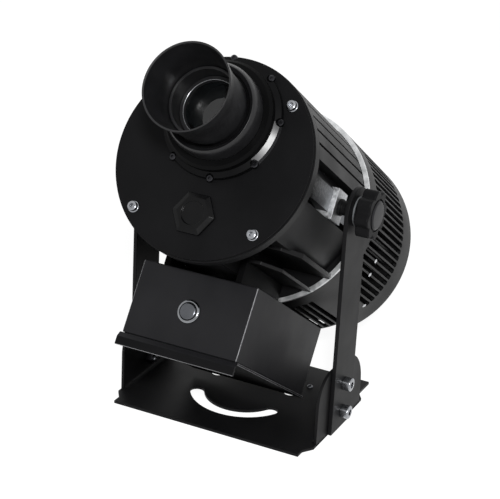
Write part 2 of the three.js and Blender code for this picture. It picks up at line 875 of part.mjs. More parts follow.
// Finned body
function finnedBody() {
  const from = ringBack + seatGap;
  const round = bar(bodyRadius, from, bodyBack, largeFacets);
  const far = bodyRadius + overrun;
  const wide = (low, high, front = from - overrun) => [
    box([-far, front, low], [-coreRadius, bodyBack + overrun, high]),
    box([coreRadius, front, low], [far, bodyBack + overrun, high]),
  ];
  const channels = wide(channelBottom, channelTop);
  const ribs = [-1, 1].map((side) => {
    const inner = coreRadius - overrun;
    const corners = [
      [inner, channelRibBottom],
      [channelRibReach, channelRibBottom],
      [channelRibReach, channelRibTop],
      [channelRibReach - channelRibSlope, channelTop],
      [channelRibReach - channelRibSlope, channelTop + overrun],
      [inner, channelTop + overrun],
    ].map(([x, rise]) => [side * x, rise]);
    return drawn(outlineOf(side > 0 ? corners : corners.reverse()), from, bodyBack);
  });
  const blockRise = blockHalfRise + seatGap;
  const blockFront = pivotDepth - blockHalfDepth - seatGap;
  const blockBack = pivotDepth + blockHalfDepth + seatGap;
  const pockets = [
    box([-far, blockFront, -blockRise], [-coreRadius, blockBack, blockRise]),
    box([coreRadius, blockFront, -blockRise], [far, blockBack, blockRise]),
  ];

  const core = bar(coreRadius, from, bodyBack, largeFacets);
  const upper = cut(round, box([-far, from - overrun, -far], [far, bodyBack + overrun, 0]), ...channels);
  const panels = bar(panelRadius, from, bodyBack, largeFacets).intersect(
    box([-far, from, panelBottom], [far, bodyBack, channelBottom]),
  );
  const keel = box([-keelHalfWidth, from, keelBottom], [keelHalfWidth, bodyBack, 0]);

  const shelf = (top, thick, back) => {
    const lowest = top - thick;
    const reach = Math.sqrt(shroudRadius ** 2 - lowest ** 2);
    const nose = outlineOf([
      [-reach, sideFinStart + sideFinSlope],
      [-reach + sideFinSlope, sideFinStart],
      [reach - sideFinSlope, sideFinStart],
      [reach, sideFinStart + sideFinSlope],
      [reach, back],
      [-reach, back],
    ]);
    return drawnUp(nose, lowest, top);
  };
  const insideRing = bar(shroudRingBore, bodyBack, ringStart + shroudRingThick, 2 * largeFacets);
  const shelves = [[upperFinTop, upperFinThick], [lowerFinTop, lowerFinThick]].map(([top, thick]) =>
    cut(shelf(top, thick, ringStart + sideFinLap), insideRing),
  );
  const body = join(cut(join(upper, core, ...ribs), ...pockets), panels, keel, ...shelves);

  const slits = [];
  const lastSlit = 180 - firstSlit;
  for (let angle = firstSlit; angle <= lastSlit; angle += finPitch) {
    const slit = new THREE.BoxGeometry(2 * finSlitDepth, bodyBack - from + 2 * overrun, finSlit);
    slit.translate(bodyRadius, (from + bodyBack) / 2, 0).rotateY(-radians(angle));
    slits.push(solidOf(slit));
  }
  const bore = bar(opticBore, from - overrun, boreBack, middleFacets, 0, lensRise);
  const plugEnd = plugShankLength + overrun + seatGap;
  const plugBore = bar(plugHole, from - overrun, plugEnd, smallFacets, 0, plugRise);
  return cut(body, ...slits, bore, plugBore);
}
place(head, "finned_body", finnedBody(), blackPaint);

// Rails under the body that carry the driver box
for (const [hand, side] of [["left", -1], ["right", 1]]) {
  const inner = keelHalfWidth + seatGap;
  const [low, high] = side > 0 ? [inner, inner + railThick] : [-inner - railThick, -inner];
  const rail = box(
    [low, railFront, boxTop + seatGap],
    [high, railBack, lowerFinTop - lowerFinThick - seatGap],
  );
  place(head, `box_rail_${hand}`, rail, blackPaint);
}

// Bright ring at the shroud's front
function frontRing() {
  const back = ringStart + shroudRingThick;
  const profile = [
    [shroudRingBore, ringStart],
    [shroudRadius, ringStart],
    [shroudRadius, back],
    [shroudRingBore, back],
  ];
  const far = shroudRadius + overrun;
  const lapBack = ringStart + sideFinLap + seatGap;
  const laps = [[upperFinTop, upperFinThick], [lowerFinTop, lowerFinThick]].map(([top, thick]) =>
    box([-far, ringStart - overrun, top - thick - seatGap], [far, lapBack, top + seatGap]),
  );
  return cut(turned(profile, 2 * largeFacets), ...laps);
}
place(head, "shroud_front_ring", frontRing(), bareAluminium);

// Slotted shroud, cut away at the bottom of its back where the cable leaves
function cableGap() {
  const far = shroudRadius + overrun;
  return box([-far, cableGapFront, -far], [far, shroudBack + overrun, cableGapTop]);
}

function slottedShroud() {
  const profile = [
    [shroudBore, shroudFront],
    [shroudRadius, shroudFront],
    [shroudRadius, shroudBack - shroudEdge],
    [shroudRadius - shroudEdge, shroudBack],
    [shroudBore, shroudBack],
  ];
  const [plainFrom, plainTo] = shroudPlainBand;
  const slots = [];
  for (let i = 0; i < shroudSlots; i += 1) {
    const angle = (360 * (i + 1 / 2)) / shroudSlots;
    const fromBelow = Math.abs(270 - angle);
    if (fromBelow > plainFrom && fromBelow < plainTo) continue;
    const slot = new THREE.BoxGeometry(2 * shroudWall, shroudSlotBack - shroudSlotFront, shroudSlotWidth);
    slot.translate(shroudRadius - shroudWall / 2, (shroudSlotFront + shroudSlotBack) / 2, 0);
    slots.push(solidOf(slot.rotateY(-radians(angle))));
  }
  return cut(turned(profile, shroudSlots / 2), ...slots, cableGap());
}
place(head, "rear_shroud", slottedShroud(), blackPaint);

// Rear heat sink, whose front face closes the back of the body
function rearSink() {
  const points = [];
  const count = 360 / finPitch;
  const half = sinkFinThick / 2;
  for (let i = 0; i < count; i += 1) {
    const angle = (fullTurn * i) / count;
    const corners = [
      [sinkHubRadius, -half],
      [sinkTipRadius, -half],
      [sinkTipRadius, half],
      [sinkHubRadius, half],
    ];
    for (const [radius, offset] of corners) {
      points.push([
        radius * Math.cos(angle) - offset * Math.sin(angle),
        radius * Math.sin(angle) + offset * Math.cos(angle),
      ]);
    }
  }
  const fins = drawn(outlineOf(points), sinkFront, sinkBack);
  const flange = bar(shroudRingBore - seatGap, bodyBack + seatGap, sinkFront + overrun, largeFacets);
  const hollow = bar(sinkHubRadius - sinkHubWall, sinkFront + sinkHubFloor, sinkBack + overrun, middleFacets);
  return cut(join(fins, flange), hollow);
}
place(head, "rear_heat_sink", rearSink(), blackAnodised);

// Rear cover with its guard slots, and the fan in front of it
const coverFront = shroudBack - coverInset - coverThick;

function rearCover() {
  const radius = shroudBore - seatGap;
  const back = coverFront + coverThick;
  const slots = [];
  for (const share of coverRingShares) {
    const inner = radius * share - coverRingWidth / 2;
    const outer = inner + coverRingWidth;
    for (let i = 0; i < coverSectors; i += 1) {
      const middle = (fullTurn * (i + 1 / 2)) / coverSectors;
      const reach = halfTurn / coverSectors;
      const innerHalf = reach - coverRibWidth / 2 / inner;
      const outerHalf = reach - coverRibWidth / 2 / outer;
      const slot = new THREE.Shape();
      slot.absarc(0, 0, outer, middle - outerHalf, middle + outerHalf, false);
      slot.absarc(0, 0, inner, middle + innerHalf, middle - innerHalf, true);
      slots.push(drawn(slot, coverFront - overrun, back + overrun, arcSteps));
    }
  }
  return cut(bar(radius, coverFront, back, shroudSlots / 2), ...slots, cableGap());
}
place(head, "rear_cover", rearCover(), blackPaint);

const fanBack = coverFront - seatGap;
const fanFront = fanBack - fanThick;
const fanPlateFront = fanBack - fanPlateThick;

function fanFrame() {
  const side = fanHalfSide;
  const shape = outlineOf([
    [side, -side + fanCorner],
    [side, side - fanCorner],
    [side - fanCorner, side],
    [-side + fanCorner, side],
    [-side, side - fanCorner],
    [-side, -side + fanCorner],
    [-side + fanCorner, -side],
    [side - fanCorner, -side],
  ]);
  const opening = new THREE.Path();
  opening.absarc(0, 0, fanBore, 0, fullTurn, false);
  shape.holes.push(opening);
  const half = fanStrutWidth / 2;
  const reach = fanBore + overrun;
  return join(
    drawn(shape, fanFront, fanBack, 2 * arcSteps),
    box([-reach, fanPlateFront, -half], [reach, fanBack, half]),
    box([-half, fanPlateFront, -reach], [half, fanBack, reach]),
    bar(fanHubRadius, fanPlateFront, fanBack, smallFacets),
    bar(fanShaftRadius, fanFront + fanBladeGap, fanBack, smallFacets),
  );
}
place(head, "fan_frame", fanFrame(), blackPlastic);

function fanRotor() {
  const back = fanPlateFront - fanBladeGap;
  const front = fanFront + fanBladeGap;
  const hub = turned(
    [
      [fanShaftRadius + seatGap, front],
      [fanHubRadius, front],
      [fanHubRadius, back],
      [fanShaftRadius + seatGap, back],
    ],
    smallFacets,
  );
  const tip = fanBore - fanBladeGap;
  const blades = [];
  for (let i = 0; i < fanBlades; i += 1) {
    const blade = new THREE.BoxGeometry(tip - fanHubRadius + overrun, fanBladeChord, fanBladeThick);
    blade.rotateX(radians(fanBladeTwist));
    blade.translate((tip + fanHubRadius - overrun) / 2, (front + back) / 2, 0);
    blades.push(solidOf(blade.rotateY((fullTurn * i) / fanBlades)));
  }
  return join(hub, ...blades);
}
place(head, "fan_rotor", fanRotor(), blackPlastic);

// Light engine on the bottom of the optic bore
const boardBack = boreBack - seatGap;
const boardFront = boardBack - boardThick;
const emitterBack = boardFront - seatGap;
const emitterFront = emitterBack - emitterThick;
place(
  head,
  "emitter_board",
  bar(boardRadius, boardFront, boardBack, middleFacets, 0, lensRise),
  bareAluminium,
);
place(
  head,
  "emitter",
  bar(emitterRadius, emitterFront, emitterBack, smallFacets, 0, lensRise),
  emitterYellow,
);

const holderBack = boardFront - seatGap;
const gearBack = gearFront + gearThick;
const mountFront = gearBack + seatGap;
const mountBack = mountFront + mountThick;
const lensSeat = condenserDepth + condenserEdge / 2 + seatGap;

function condenserHolder() {
  const bore = holderRadius - holderWall;
  const front = condenserDepth - condenserEdge / 2 - holderWall;
  const seatBore = condenserRadius + seatGap;
  const profile = [
    [seatBore, front],
    [holderRadius, front],
    [holderRadius, holderBack],
    [bore - holderStep, holderBack],
    [bore - holderStep, holderBack - holderWall],
    [condenserRadius - holderStep, lensSeat + holderWall],
    [condenserRadius - holderStep, lensSeat],
    [seatBore, lensSeat],
  ];
  return turned(profile, middleFacets, 0, lensRise);
}
place(head, "condenser_holder", condenserHolder(), bareAluminium);
place(
  head,
  "condenser_lens",
  lens(condenserRadius, condenserDepth, condenserEdge, condenserCrown, 0),
  clearGlass,
);

// Gears: teeth with straight flanks, thinned so that the pair runs with play
const pitchRadius = (teeth) => (gearModule * teeth) / 2;

function gearOutline(teeth, phase) {
  const pitch = pitchRadius(teeth);
  const tip = pitch + gearModule * addendumShare;
  const root = pitch - gearModule * dedendumShare;
  const quarter = fullTurn / teeth / 4;
  const points = [];
  for (let i = 0; i < teeth; i += 1) {
    const middle = phase + (fullTurn * i) / teeth;
    const corners = [
      [root, -quarter * toothRootShare],
      [tip, -quarter * toothTipShare],
      [tip, quarter * toothTipShare],
      [root, quarter * toothRootShare],
    ];
    for (const [radius, angle] of corners) {
      points.push([radius * Math.cos(middle + angle), radius * Math.sin(middle + angle)]);
    }
  }
  return points;
}

const motorDirection = radians(motorAngle);
const gearDistance = pitchRadius(gearTeeth) + pitchRadius(pinionTeeth);
const motorX = gearDistance * Math.cos(motorDirection);
const motorRise = lensRise + gearDistance * Math.sin(motorDirection);

function ringGear() {
  const teeth = gearOutline(gearTeeth, motorDirection).map(([x, rise]) => [x, rise + lensRise]);
  const recess = goboRadius + seatGap;
  return cut(
    join(
      drawn(outlineOf(teeth), gearFront, gearBack),
      bar(gearSleeveRadius, gearFront, gearBack + seatGap + gearSleeveLength, middleFacets, 0, lensRise),
    ),
    bar(goboOpening, gearFront - overrun, mountBack + overrun, middleFacets, 0, lensRise),
    bar(recess, gearFront - overrun, gearFront + goboThick + seatGap, middleFacets, 0, lensRise),
  );
}
place(head, "gobo_ring_gear", ringGear(), brass);
place(
  head,
  "gobo_glass",
  bar(goboRadius, gearFront, gearFront + goboThick, middleFacets, 0, lensRise),
  clearGlass,
);

function goboMount() {
  const bore = gearSleeveRadius + seatGap;
  const profile = [
    [bore, mountFront],
    [mountRadius, mountFront],
    [mountRadius, mountBack],
    [bore, mountBack],
  ];
  const shaftHole = bar(
    motorShaftRadius + runningGap,
    mountFront - overrun,
    mountBack + overrun,
    smallFacets,
    motorX,
    motorRise,
  );
  return cut(turned(profile, middleFacets, 0, lensRise), shaftHole);
}
place(head, "gobo_mount", goboMount(), bareAluminium);

// Motor with its shaft, and the pinion that turns round the shaft's end
const motorFront = mountBack + seatGap;
place(
  head,
  "rotation_motor",
  join(
    bar(motorRadius, motorFront, motorFront + motorLength, smallFacets, motorX, motorRise),
    bar(motorShaftRadius, gearFront, motorFront + overrun, smallFacets, motorX, motorRise),
  ),
  zinc,
);

function motorPinion() {
  const gap = halfTurn / pinionTeeth;
  const teeth = gearOutline(pinionTeeth, motorDirection + halfTurn + gap);
  const outline = teeth.map(([x, rise]) => [x + motorX, rise + motorRise]);
  const shaftHole = motorShaftRadius + seatGap;
  const bore = bar(shaftHole, gearFront - overrun, gearBack + overrun, smallFacets, motorX, motorRise);
  return cut(drawn(outlineOf(outline), gearFront, gearBack), bore);
}
place(head, "motor_pinion", motorPinion(), brass);

// Driver box: a folded cover, open below, cut out where the shroud dips into it
function driverCover() {
  const outside = box([-boxHalfWidth, boxFront, boxBottom], [boxHalfWidth, boxBack, boxTop]);
  const inside = box(
    [-boxHalfWidth + boxWall, boxFront + boxWall, boxBottom - overrun],
    [boxHalfWidth - boxWall, boxBack - boxWall, boxTop - boxWall],
  );
  return cut(
    outside,
    inside,
    bar(shroudRadius + bodyClearance, ringStart - bodyClearance, boxBack + overrun, shroudSlots / 2),
    bar(bezelBody + runningGap, boxFront - overrun, boxFront + boxWall + overrun, smallFacets, 0, buttonRise),
    bar(
      glandThreadRadius + runningGap,
      boxBack - boxWall - overrun,
      boxBack + overrun,
      smallFacets,
      glandOffset,
      glandRise,
    ),
  );
}
place(head, "driver_cover", driverCover(), blackPaint);

place(
  head,
  "driver_tray",
  drawnAcross(
    outlineOf([
      [boxFront, trayTop],
      [trayFront, trayTop - lipLedge],
      [trayFront, lipBottom],
      [trayFront + lipThick, lipBottom],
      [trayFront + lipThick, trayTop - trayThick],
      [boxBack, trayTop - trayThick],
      [boxBack, trayTop],
    ]),
    -boxHalfWidth - trayOverhang,
    boxHalfWidth + trayOverhang,
  ),
  blackPaint,
);

const floorInside = trayTop + seatGap;
place(
  head,
  "power_supply",
  box([-supplyHalfWidth, supplyFront, floorInside], [supplyHalfWidth, supplyBack, supplyTop]),
  zinc,
);
place(
  head,
  "control_board",
  box(
    [-controlBoardHalfWidth, controlBoardDepth, floorInside],
    [controlBoardHalfWidth, controlBoardDepth + controlBoardThick, supplyTop],
  ),
  boardGreen,
);

// Push button in the box's front
const bezelBack = boxFront - seatGap;
const bezelFront = bezelBack - bezelThick;
const buttonBore = buttonRadius + seatGap;
place(
  head,
  "button_bezel",
  turned(
    [
      [buttonBore, bezelFront],
      [bezelRadius - bezelThick / 2, bezelFront],
      [bezelRadius, bezelFront + bezelThick / 2],
      [bezelRadius, bezelBack],
      [bezelBody, bezelBack],
      [bezelBody, bezelBack + bezelBodyLength],
      [buttonBore, bezelBack + bezelBodyLength],
    ],
    middleFacets,
    0,
    buttonRise,
  ),
  stainless,
);
place(
  head,
  "button_cap",
  turned(
    [
      [0, bezelFront - buttonProud],
      [buttonRadius - buttonProud, bezelFront - buttonProud],
      [buttonRadius, bezelFront],
      [buttonRadius, bezelFront + buttonLength],
      [0, bezelFront + buttonLength],
    ],
    middleFacets,
    0,
    buttonRise,
  ),
  stainless,
);

// Cable gland, with its thread through the box's back wall
place(
  head,
  "cable_gland",
  turned(
    [
      [glandBore, boxBack - boxWall - glandFlangeLength],
      [glandThreadRadius, boxBack - boxWall - glandFlangeLength],
      [glandThreadRadius, boxBack + seatGap],
      [glandRadius, boxBack + seatGap],
      [glandRadius, boxBack + seatGap + glandFlangeLength],
      [glandDomeRadius, boxBack + seatGap + glandFlangeLength],
      [glandDomeRadius, boxBack + seatGap + glandDomeLength],
      [glandBore, boxBack + seatGap + glandFlangeLength + glandDomeLength],
    ],
    smallFacets,
    glandOffset,
    glandRise,
  ),
  blackPlastic,
);

// The origin is the middle of the bottom of the whole object
projector.updateMatrixWorld(true);
const reach = new THREE.Box3().setFromObject(projector, true);
const group = new THREE.Group();
projector.position.set(0, -(reach.min.y + reach.max.y) / 2, -reach.min.z);
group.add(projector);

export default group;
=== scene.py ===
import json
import math

import bpy
from mathutils import Matrix, Vector


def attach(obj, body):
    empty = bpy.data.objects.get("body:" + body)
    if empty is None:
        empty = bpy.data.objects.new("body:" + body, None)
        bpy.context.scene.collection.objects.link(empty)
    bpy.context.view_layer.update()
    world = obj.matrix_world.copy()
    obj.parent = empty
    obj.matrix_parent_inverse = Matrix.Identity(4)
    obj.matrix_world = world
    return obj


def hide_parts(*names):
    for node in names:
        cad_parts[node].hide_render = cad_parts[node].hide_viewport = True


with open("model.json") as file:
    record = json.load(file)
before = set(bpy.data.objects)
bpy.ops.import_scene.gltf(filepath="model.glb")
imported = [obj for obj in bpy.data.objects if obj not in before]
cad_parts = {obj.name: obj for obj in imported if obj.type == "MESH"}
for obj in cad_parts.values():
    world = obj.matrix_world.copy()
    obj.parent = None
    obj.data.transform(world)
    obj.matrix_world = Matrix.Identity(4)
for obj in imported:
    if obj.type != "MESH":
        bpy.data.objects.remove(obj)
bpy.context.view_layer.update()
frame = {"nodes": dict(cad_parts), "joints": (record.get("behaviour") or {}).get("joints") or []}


# Base bracket: one laser-cut sheet of mild steel, with two ears folded up to carry the arms.
# Two curved slots take the bolts that fix it. The edges are dressed, and the whole is powder coated.
mm = 0.001
joints = {joint["name"]: joint for joint in frame["joints"]}
pivot = Vector(joints["head_tilt"]["pos_m"])
level = Matrix.Identity(4)
weld = 0.001 * mm


def node_box(node, place=level):
    """The lowest and highest corner of a CAD node, in the frame's directions or in those of a place."""
    back = place.inverted()
    points = [back @ v.co for v in frame["nodes"][node].data.vertices]
    low = Vector([min(p[i] for p in points) for i in range(3)])
    high = Vector([max(p[i] for p in points) for i in range(3)])
    return low, high


def to_object_mode():
    if bpy.context.mode != "OBJECT":
        bpy.ops.object.mode_set(mode="OBJECT")


def deselect():
    to_object_mode()
    bpy.ops.object.select_all(action="DESELECT")


def only(piece):
    """Makes one piece the selected and active one."""
    deselect()
    piece.select_set(True)
    bpy.context.view_layer.objects.active = piece


def wire(name, points):
    """A chain of edges through points, drawn by extruding one vertex, and left open in edit mode."""
    deselect()
    bpy.ops.mesh.primitive_plane_add(size=mm, location=points[0])
    piece = bpy.context.object
    piece.name = name
    bpy.ops.object.transform_apply(location=True)
    bpy.ops.object.mode_set(mode="EDIT")
    bpy.ops.mesh.merge(type="CENTER")
    for last, point in zip(points, points[1:]):
        step = Vector(point) - Vector(last)
        bpy.ops.mesh.extrude_region_move(TRANSFORM_OT_translate={"value": step})
    return piece


def closed_wire(name, points):
    """A wire that ends where it starts, merged there and selected, still in edit mode."""
    piece = wire(name, [*points, points[0]])
    bpy.ops.mesh.select_all(action="SELECT")
    bpy.ops.mesh.remove_doubles(threshold=weld)
    bpy.ops.mesh.select_all(action="SELECT")
    return piece


def outward():
    """Merges what meets and turns every face outwards, in edit mode."""
    bpy.ops.mesh.select_all(action="SELECT")
    bpy.ops.mesh.remove_doubles(threshold=weld)
    bpy.ops.mesh.normals_make_consistent(inside=False)
    to_object_mode()


def on_axis(axis, pair, step):
    """A point from its place along an axis and its two other coordinates."""
    point = list(pair)
    point.insert("XYZ".index(axis), step)
    return tuple(point)


def extruded(name, outline, axis, start, end):
    """A closed outline of pairs, filled, and extruded along an axis from one place to another."""
    piece = closed_wire(name, [on_axis(axis, pair, start) for pair in outline])
    bpy.ops.mesh.edge_face_add()
    bpy.ops.mesh.extrude_region_move(TRANSFORM_OT_translate={"value": on_axis(axis, (0, 0), end - start)})
    outward()
    return piece


def drill(radius, middle, start, end, axis="Y", steps=32):
    """A round cutter along an axis, from one place to another."""
    deselect()
    first = Vector(on_axis(axis, middle, start))
    last = Vector(on_axis(axis, middle, end))
    bpy.ops.mesh.primitive_cylinder_add(
        vertices=steps,
        radius=radius,
        depth=(last - first).length,
        location=(first + last) / 2,
        rotation=(last - first).to_track_quat("Z", "Y").to_euler(),
    )
    bpy.ops.object.transform_apply(location=True, rotation=True)
    return bpy.context.object


def at(radius, degrees, middle=(0, 0)):
    """The point at an angle round a middle, as a pair."""
    angle = math.radians(degrees)
    return (middle[0] + radius * math.cos(angle), middle[1] + radius * math.sin(angle))


def arc(middle, radius, start, end, steps):
    """Points at even steps round a middle, from one angle in degrees to another."""
    return [at(radius, start + (end - start) * i / steps, middle) for i in range(steps + 1)]


def apply_modifier(piece, kind, **settings):
    """Adds a modifier with its settings and applies it."""
    only(piece)
    modifier = piece.modifiers.new(kind.lower(), kind)
    for name, value in settings.items():
        setattr(modifier, name, value)
    bpy.ops.object.modifier_apply(modifier=modifier.name)


def cut(piece, *cutters):
    """Cuts pieces out of another, and drops them."""
    for cutter in cutters:
        apply_modifier(piece, "BOOLEAN", object=cutter, operation="DIFFERENCE", solver="EXACT")
        bpy.data.objects.remove(cutter)


def ease_edges(piece, width, steps=2, angle=35):
    """Breaks every sharp edge, as a file or a tumbler does."""
    apply_modifier(
        piece,
        "BEVEL",
        width=width,
        segments=steps,
        limit_method="ANGLE",
        angle_limit=math.radians(angle),
        use_clamp_overlap=True,
    )


def join(piece, *others):
    """Makes several meshes one piece."""
    only(piece)
    for other in others:
        other.select_set(True)
    bpy.ops.object.join()
    return piece


base_low, base_high = node_box("base_bracket")
sheet_thick = 3 * mm
sheet_ease = 0.4 * mm
plate_reach = base_high.x - 7.1 * mm
ear_front = pivot.y - 48.6 * mm
ear_back = pivot.y + 55.3 * mm
ear_margin = 5.4 * mm
flare = 10.5 * mm
right_edge = [
    (plate_reach, base_low.y),
    (plate_reach, ear_front - ear_margin - flare),
    (base_high.x, ear_front - ear_margin),
    (base_high.x, ear_back + ear_margin),
    (plate_reach, ear_back + ear_margin + flare),
    (plate_reach, base_high.y),
]
left_edge = [(-x, y) for x, y in reversed(right_edge)]
base_plate = extruded("base_bracket_sheet", right_edge + left_edge, "Z", 0, sheet_thick)

# A cutter starts and ends this far outside the piece that it cuts.
over = 2 * mm
slot_middle = (0, (base_low.y + base_high.y) / 2)
slot_radius = 47 * mm
slot_half = 7 * mm
slot_reach = 61
for facing in (-90, 90):
    start, end = facing - slot_reach, facing + slot_reach
    slot = arc(slot_middle, slot_radius + slot_half, start, end, 28)
    slot += arc(at(slot_radius, end, slot_middle), slot_half, end, end + 180, 8)[1:-1]
    slot += arc(slot_middle, slot_radius - slot_half, end, start, 28)
    slot += arc(at(slot_radius, start, slot_middle), slot_half, start + 180, start + 360, 8)[1:-1]
    cut(base_plate, extruded("slot", slot, "Z", -over, sheet_thick + over))
ease_edges(base_plate, sheet_ease)

ear_foot = 0.2 * mm
ear_front_round = 27 * mm
ear_back_round = 44 * mm
bend_radius = 3.5 * mm
bend_lap = 0.1 * mm
bolt_heights = {"lower": 18.5 * mm, "upper": 48.5 * mm}
bolt_clearance = 4.5 * mm
ear_outline = [
    (ear_front, ear_foot),
    (ear_back, ear_foot),
    *arc((ear_back - ear_back_round, base_high.z - ear_back_round), ear_back_round, 0, 90, 16),
    *arc((ear_front + ear_front_round, base_high.z - ear_front_round), ear_front_round, 90, 180, 12),
]
bend_outline = [
    (-bend_lap, -bend_lap),
    (bend_radius, -bend_lap),
    *arc((bend_radius, bend_radius), bend_radius, 255, 195, 4),
    (-bend_lap, bend_radius),
]
for side in (-1, 1):
    outer_face = side * base_high.x
    inner_face = outer_face - side * sheet_thick
    ear = extruded("ear", ear_outline, "X", outer_face, inner_face)
    reach = sheet_thick + over
    for height in bolt_heights.values():
        cut(ear, drill(bolt_clearance, (pivot.y, height), outer_face - reach, outer_face + reach, "X"))
    ease_edges(ear, sheet_ease)
    bend = [(inner_face - side * x, sheet_thick + z) for x, z in bend_outline]
    join(base_plate, ear, extruded("bend", bend, "Y", ear_front + over, ear_back - over))


def linear(colour):
    """A hex colour as the linear one that a shader takes."""
    shares = [int(colour[i:i + 2], 16) / 255 for i in (1, 3, 5)]
    return [s / 12.92 if s <= 0.04045 else ((s + 0.055) / 1.055) ** 2.4 for s in shares] + [1]


def add_node(tree, kind, links=None, values=None, **settings):
    """Adds a node with its own settings, its sockets' values, and links from other nodes' outputs."""
    made = tree.nodes.new(kind)
    for name, value in settings.items():
        setattr(made, name, value)
    for socket, value in (values or {}).items():
        made.inputs[socket].default_value = value
    for socket, source in (links or {}).items():
        tree.links.new(source, made.inputs[socket])
    return made


def finish_of(name, **surface):
    """A new material whose plain values sit on the shader's own sockets."""
    material = bpy.data.materials.new(name)
    material.use_nodes = True
    shader = material.node_tree.nodes["Principled BSDF"]
    for socket, value in surface.items():
        shader.inputs[socket.replace("_", " ")].default_value = value
    return material


# A noise texture stays mostly between these two values.
noise_low, noise_high = 0.3, 0.7


def weather(material, relief, height, patches, tones, spread, roughness):
    """Raises a relief, by a height in millimetres, and lets the colour and the roughness drift in patches."""
    tree = material.node_tree
    shader = tree.nodes["Principled BSDF"]
    bump = add_node(tree, "ShaderNodeBump", {"Height": relief}, {"Strength": 1, "Distance": height * mm})
    drift = add_node(
        tree,
        "ShaderNodeMapRange",
        {"Value": patches},
        {"From Min": noise_low, "From Max": noise_high, "To Min": roughness[0], "To Max": roughness[1]},
    )
    ramp = add_node(tree, "ShaderNodeValToRGB", {"Fac": patches})
    for element, tone, share in zip(ramp.color_ramp.elements, tones, spread):
        element.position = share
        element.color = linear(tone)
    tree.links.new(bump.outputs["Normal"], shader.inputs["Normal"])
    tree.links.new(drift.outputs["Result"], shader.inputs["Roughness"])
    tree.links.new(ramp.outputs["Color"], shader.inputs["Base Color"])


def grained(name, grain, height, patch, tones, roughness, shine=0.5, metal=0):
    """A material with a raised grain and with patches, all three sizes in millimetres."""
    material = finish_of(name, Specular_IOR_Level=shine, Metallic=metal)
    tree = material.node_tree
    place = add_node(tree, "ShaderNodeTexCoord").outputs["Object"]
    grains, patches = (
        add_node(tree, "ShaderNodeTexNoise", {"Vector": place}, {"Scale": 1 / (size * mm), "Detail": detail})
        for size, detail in ((grain, 3), (patch, 4))
    )
    spread = (noise_low, noise_high)
    weather(material, grains.outputs["Fac"], height, patches.outputs["Fac"], tones, spread, roughness)
    return material


def hand_over(piece, body, material, node=None, place=level, smooth=40):
    """Puts a finished piece in its place, on its body, in its finish, instead of the node it stands for."""
    only(piece)
    piece.matrix_world = place @ piece.matrix_world
    bpy.ops.object.transform_apply(location=True, rotation=True, scale=True)
    bpy.ops.object.shade_smooth_by_angle(angle=math.radians(smooth))
    apply_modifier(piece, "WEIGHTED_NORMAL", keep_sharp=True)
    piece.data.materials.clear()
    piece.data.materials.append(material)
    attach(piece, body)
    if node:
        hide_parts(node)


# Powder coat: polyester powder baked on steel dries to a satin black skin with a fine orange peel, a little
# smoother in some patches. The peel is half a millimetre across, and is drawn at one so that it shows.
# The other grains are finer still, and are drawn at about one or two for the same reason.
sheet_paint = grained("powder_coated_steel", 1.0, 0.02, 40, ("#101011", "#151516"), (0.42, 0.52), shine=0.1)
hand_over(base_plate, "yoke", sheet_paint, "base_bracket")


# Corner screw: a small steel screw with a pan head and a cross recess, rolled, plated and driven through
# the base plate's far right corner.
def turned(name, outline, middle=(0, 0), axis="Y", steps=96):
    """A closed outline of radii and places along the axis, spun about it as on a lathe."""
    x, rise = middle
    piece = closed_wire(name, [on_axis(axis, (x + radius, rise), along) for radius, along in outline])
    centre = on_axis(axis, middle, 0)
    direction = on_axis(axis, (0, 0), 1)
    bpy.ops.mesh.spin(steps=steps, angle=math.tau, center=centre, axis=direction)
    outward()
    return piece


def profile(start, pairs, way=1):
    """Part of an outline for the lathe: radii, and steps along the axis from a start, in millimetres."""
    return [(radius * mm, start + way * step * mm) for radius, step in pairs]


def block_between(name, low, high):
    """A block between two corners."""
    deselect()
    size = Vector(high) - Vector(low)
    bpy.ops.mesh.primitive_cube_add(size=1, location=(Vector(low) + Vector(high)) / 2, scale=size)
    piece = bpy.context.object
    piece.name = name
    bpy.ops.object.transform_apply(location=True, scale=True)
    return piece


# Zinc plate: a dull silver, a little cloudy from the bath.
zinc_plate = grained("zinc_plated_steel", 1.5, 0.01, 6, ("#5f6165", "#74767a"), (0.24, 0.36), metal=1)
corner_x, corner_y = 53.3 * mm, pivot.y + 54.9 * mm
pan_outline = profile(sheet_thick, ((0, 2.2), (1.9, 1.9), (2.8, 1.2), (3.1, 0.1), (0, 0.1)))
corner_screw = turned("base_corner_screw", pan_outline, (corner_x, corner_y), "Z", 40)
recess_low, recess_high = sheet_thick + 1.2 * mm, sheet_thick + 3.6 * mm
recess_long, recess_short = 1.6 * mm, 0.4 * mm
for half_x, half_y in ((recess_short, recess_long), (recess_long, recess_short)):
    recess = block_between(
        "cross_recess",
        (corner_x - half_x, corner_y - half_y, recess_low),
        (corner_x + half_x, corner_y + half_y, recess_high),
    )
    cut(corner_screw, recess)
ease_edges(corner_screw, 0.12 * mm)
hand_over(corner_screw, "yoke", zinc_plate)


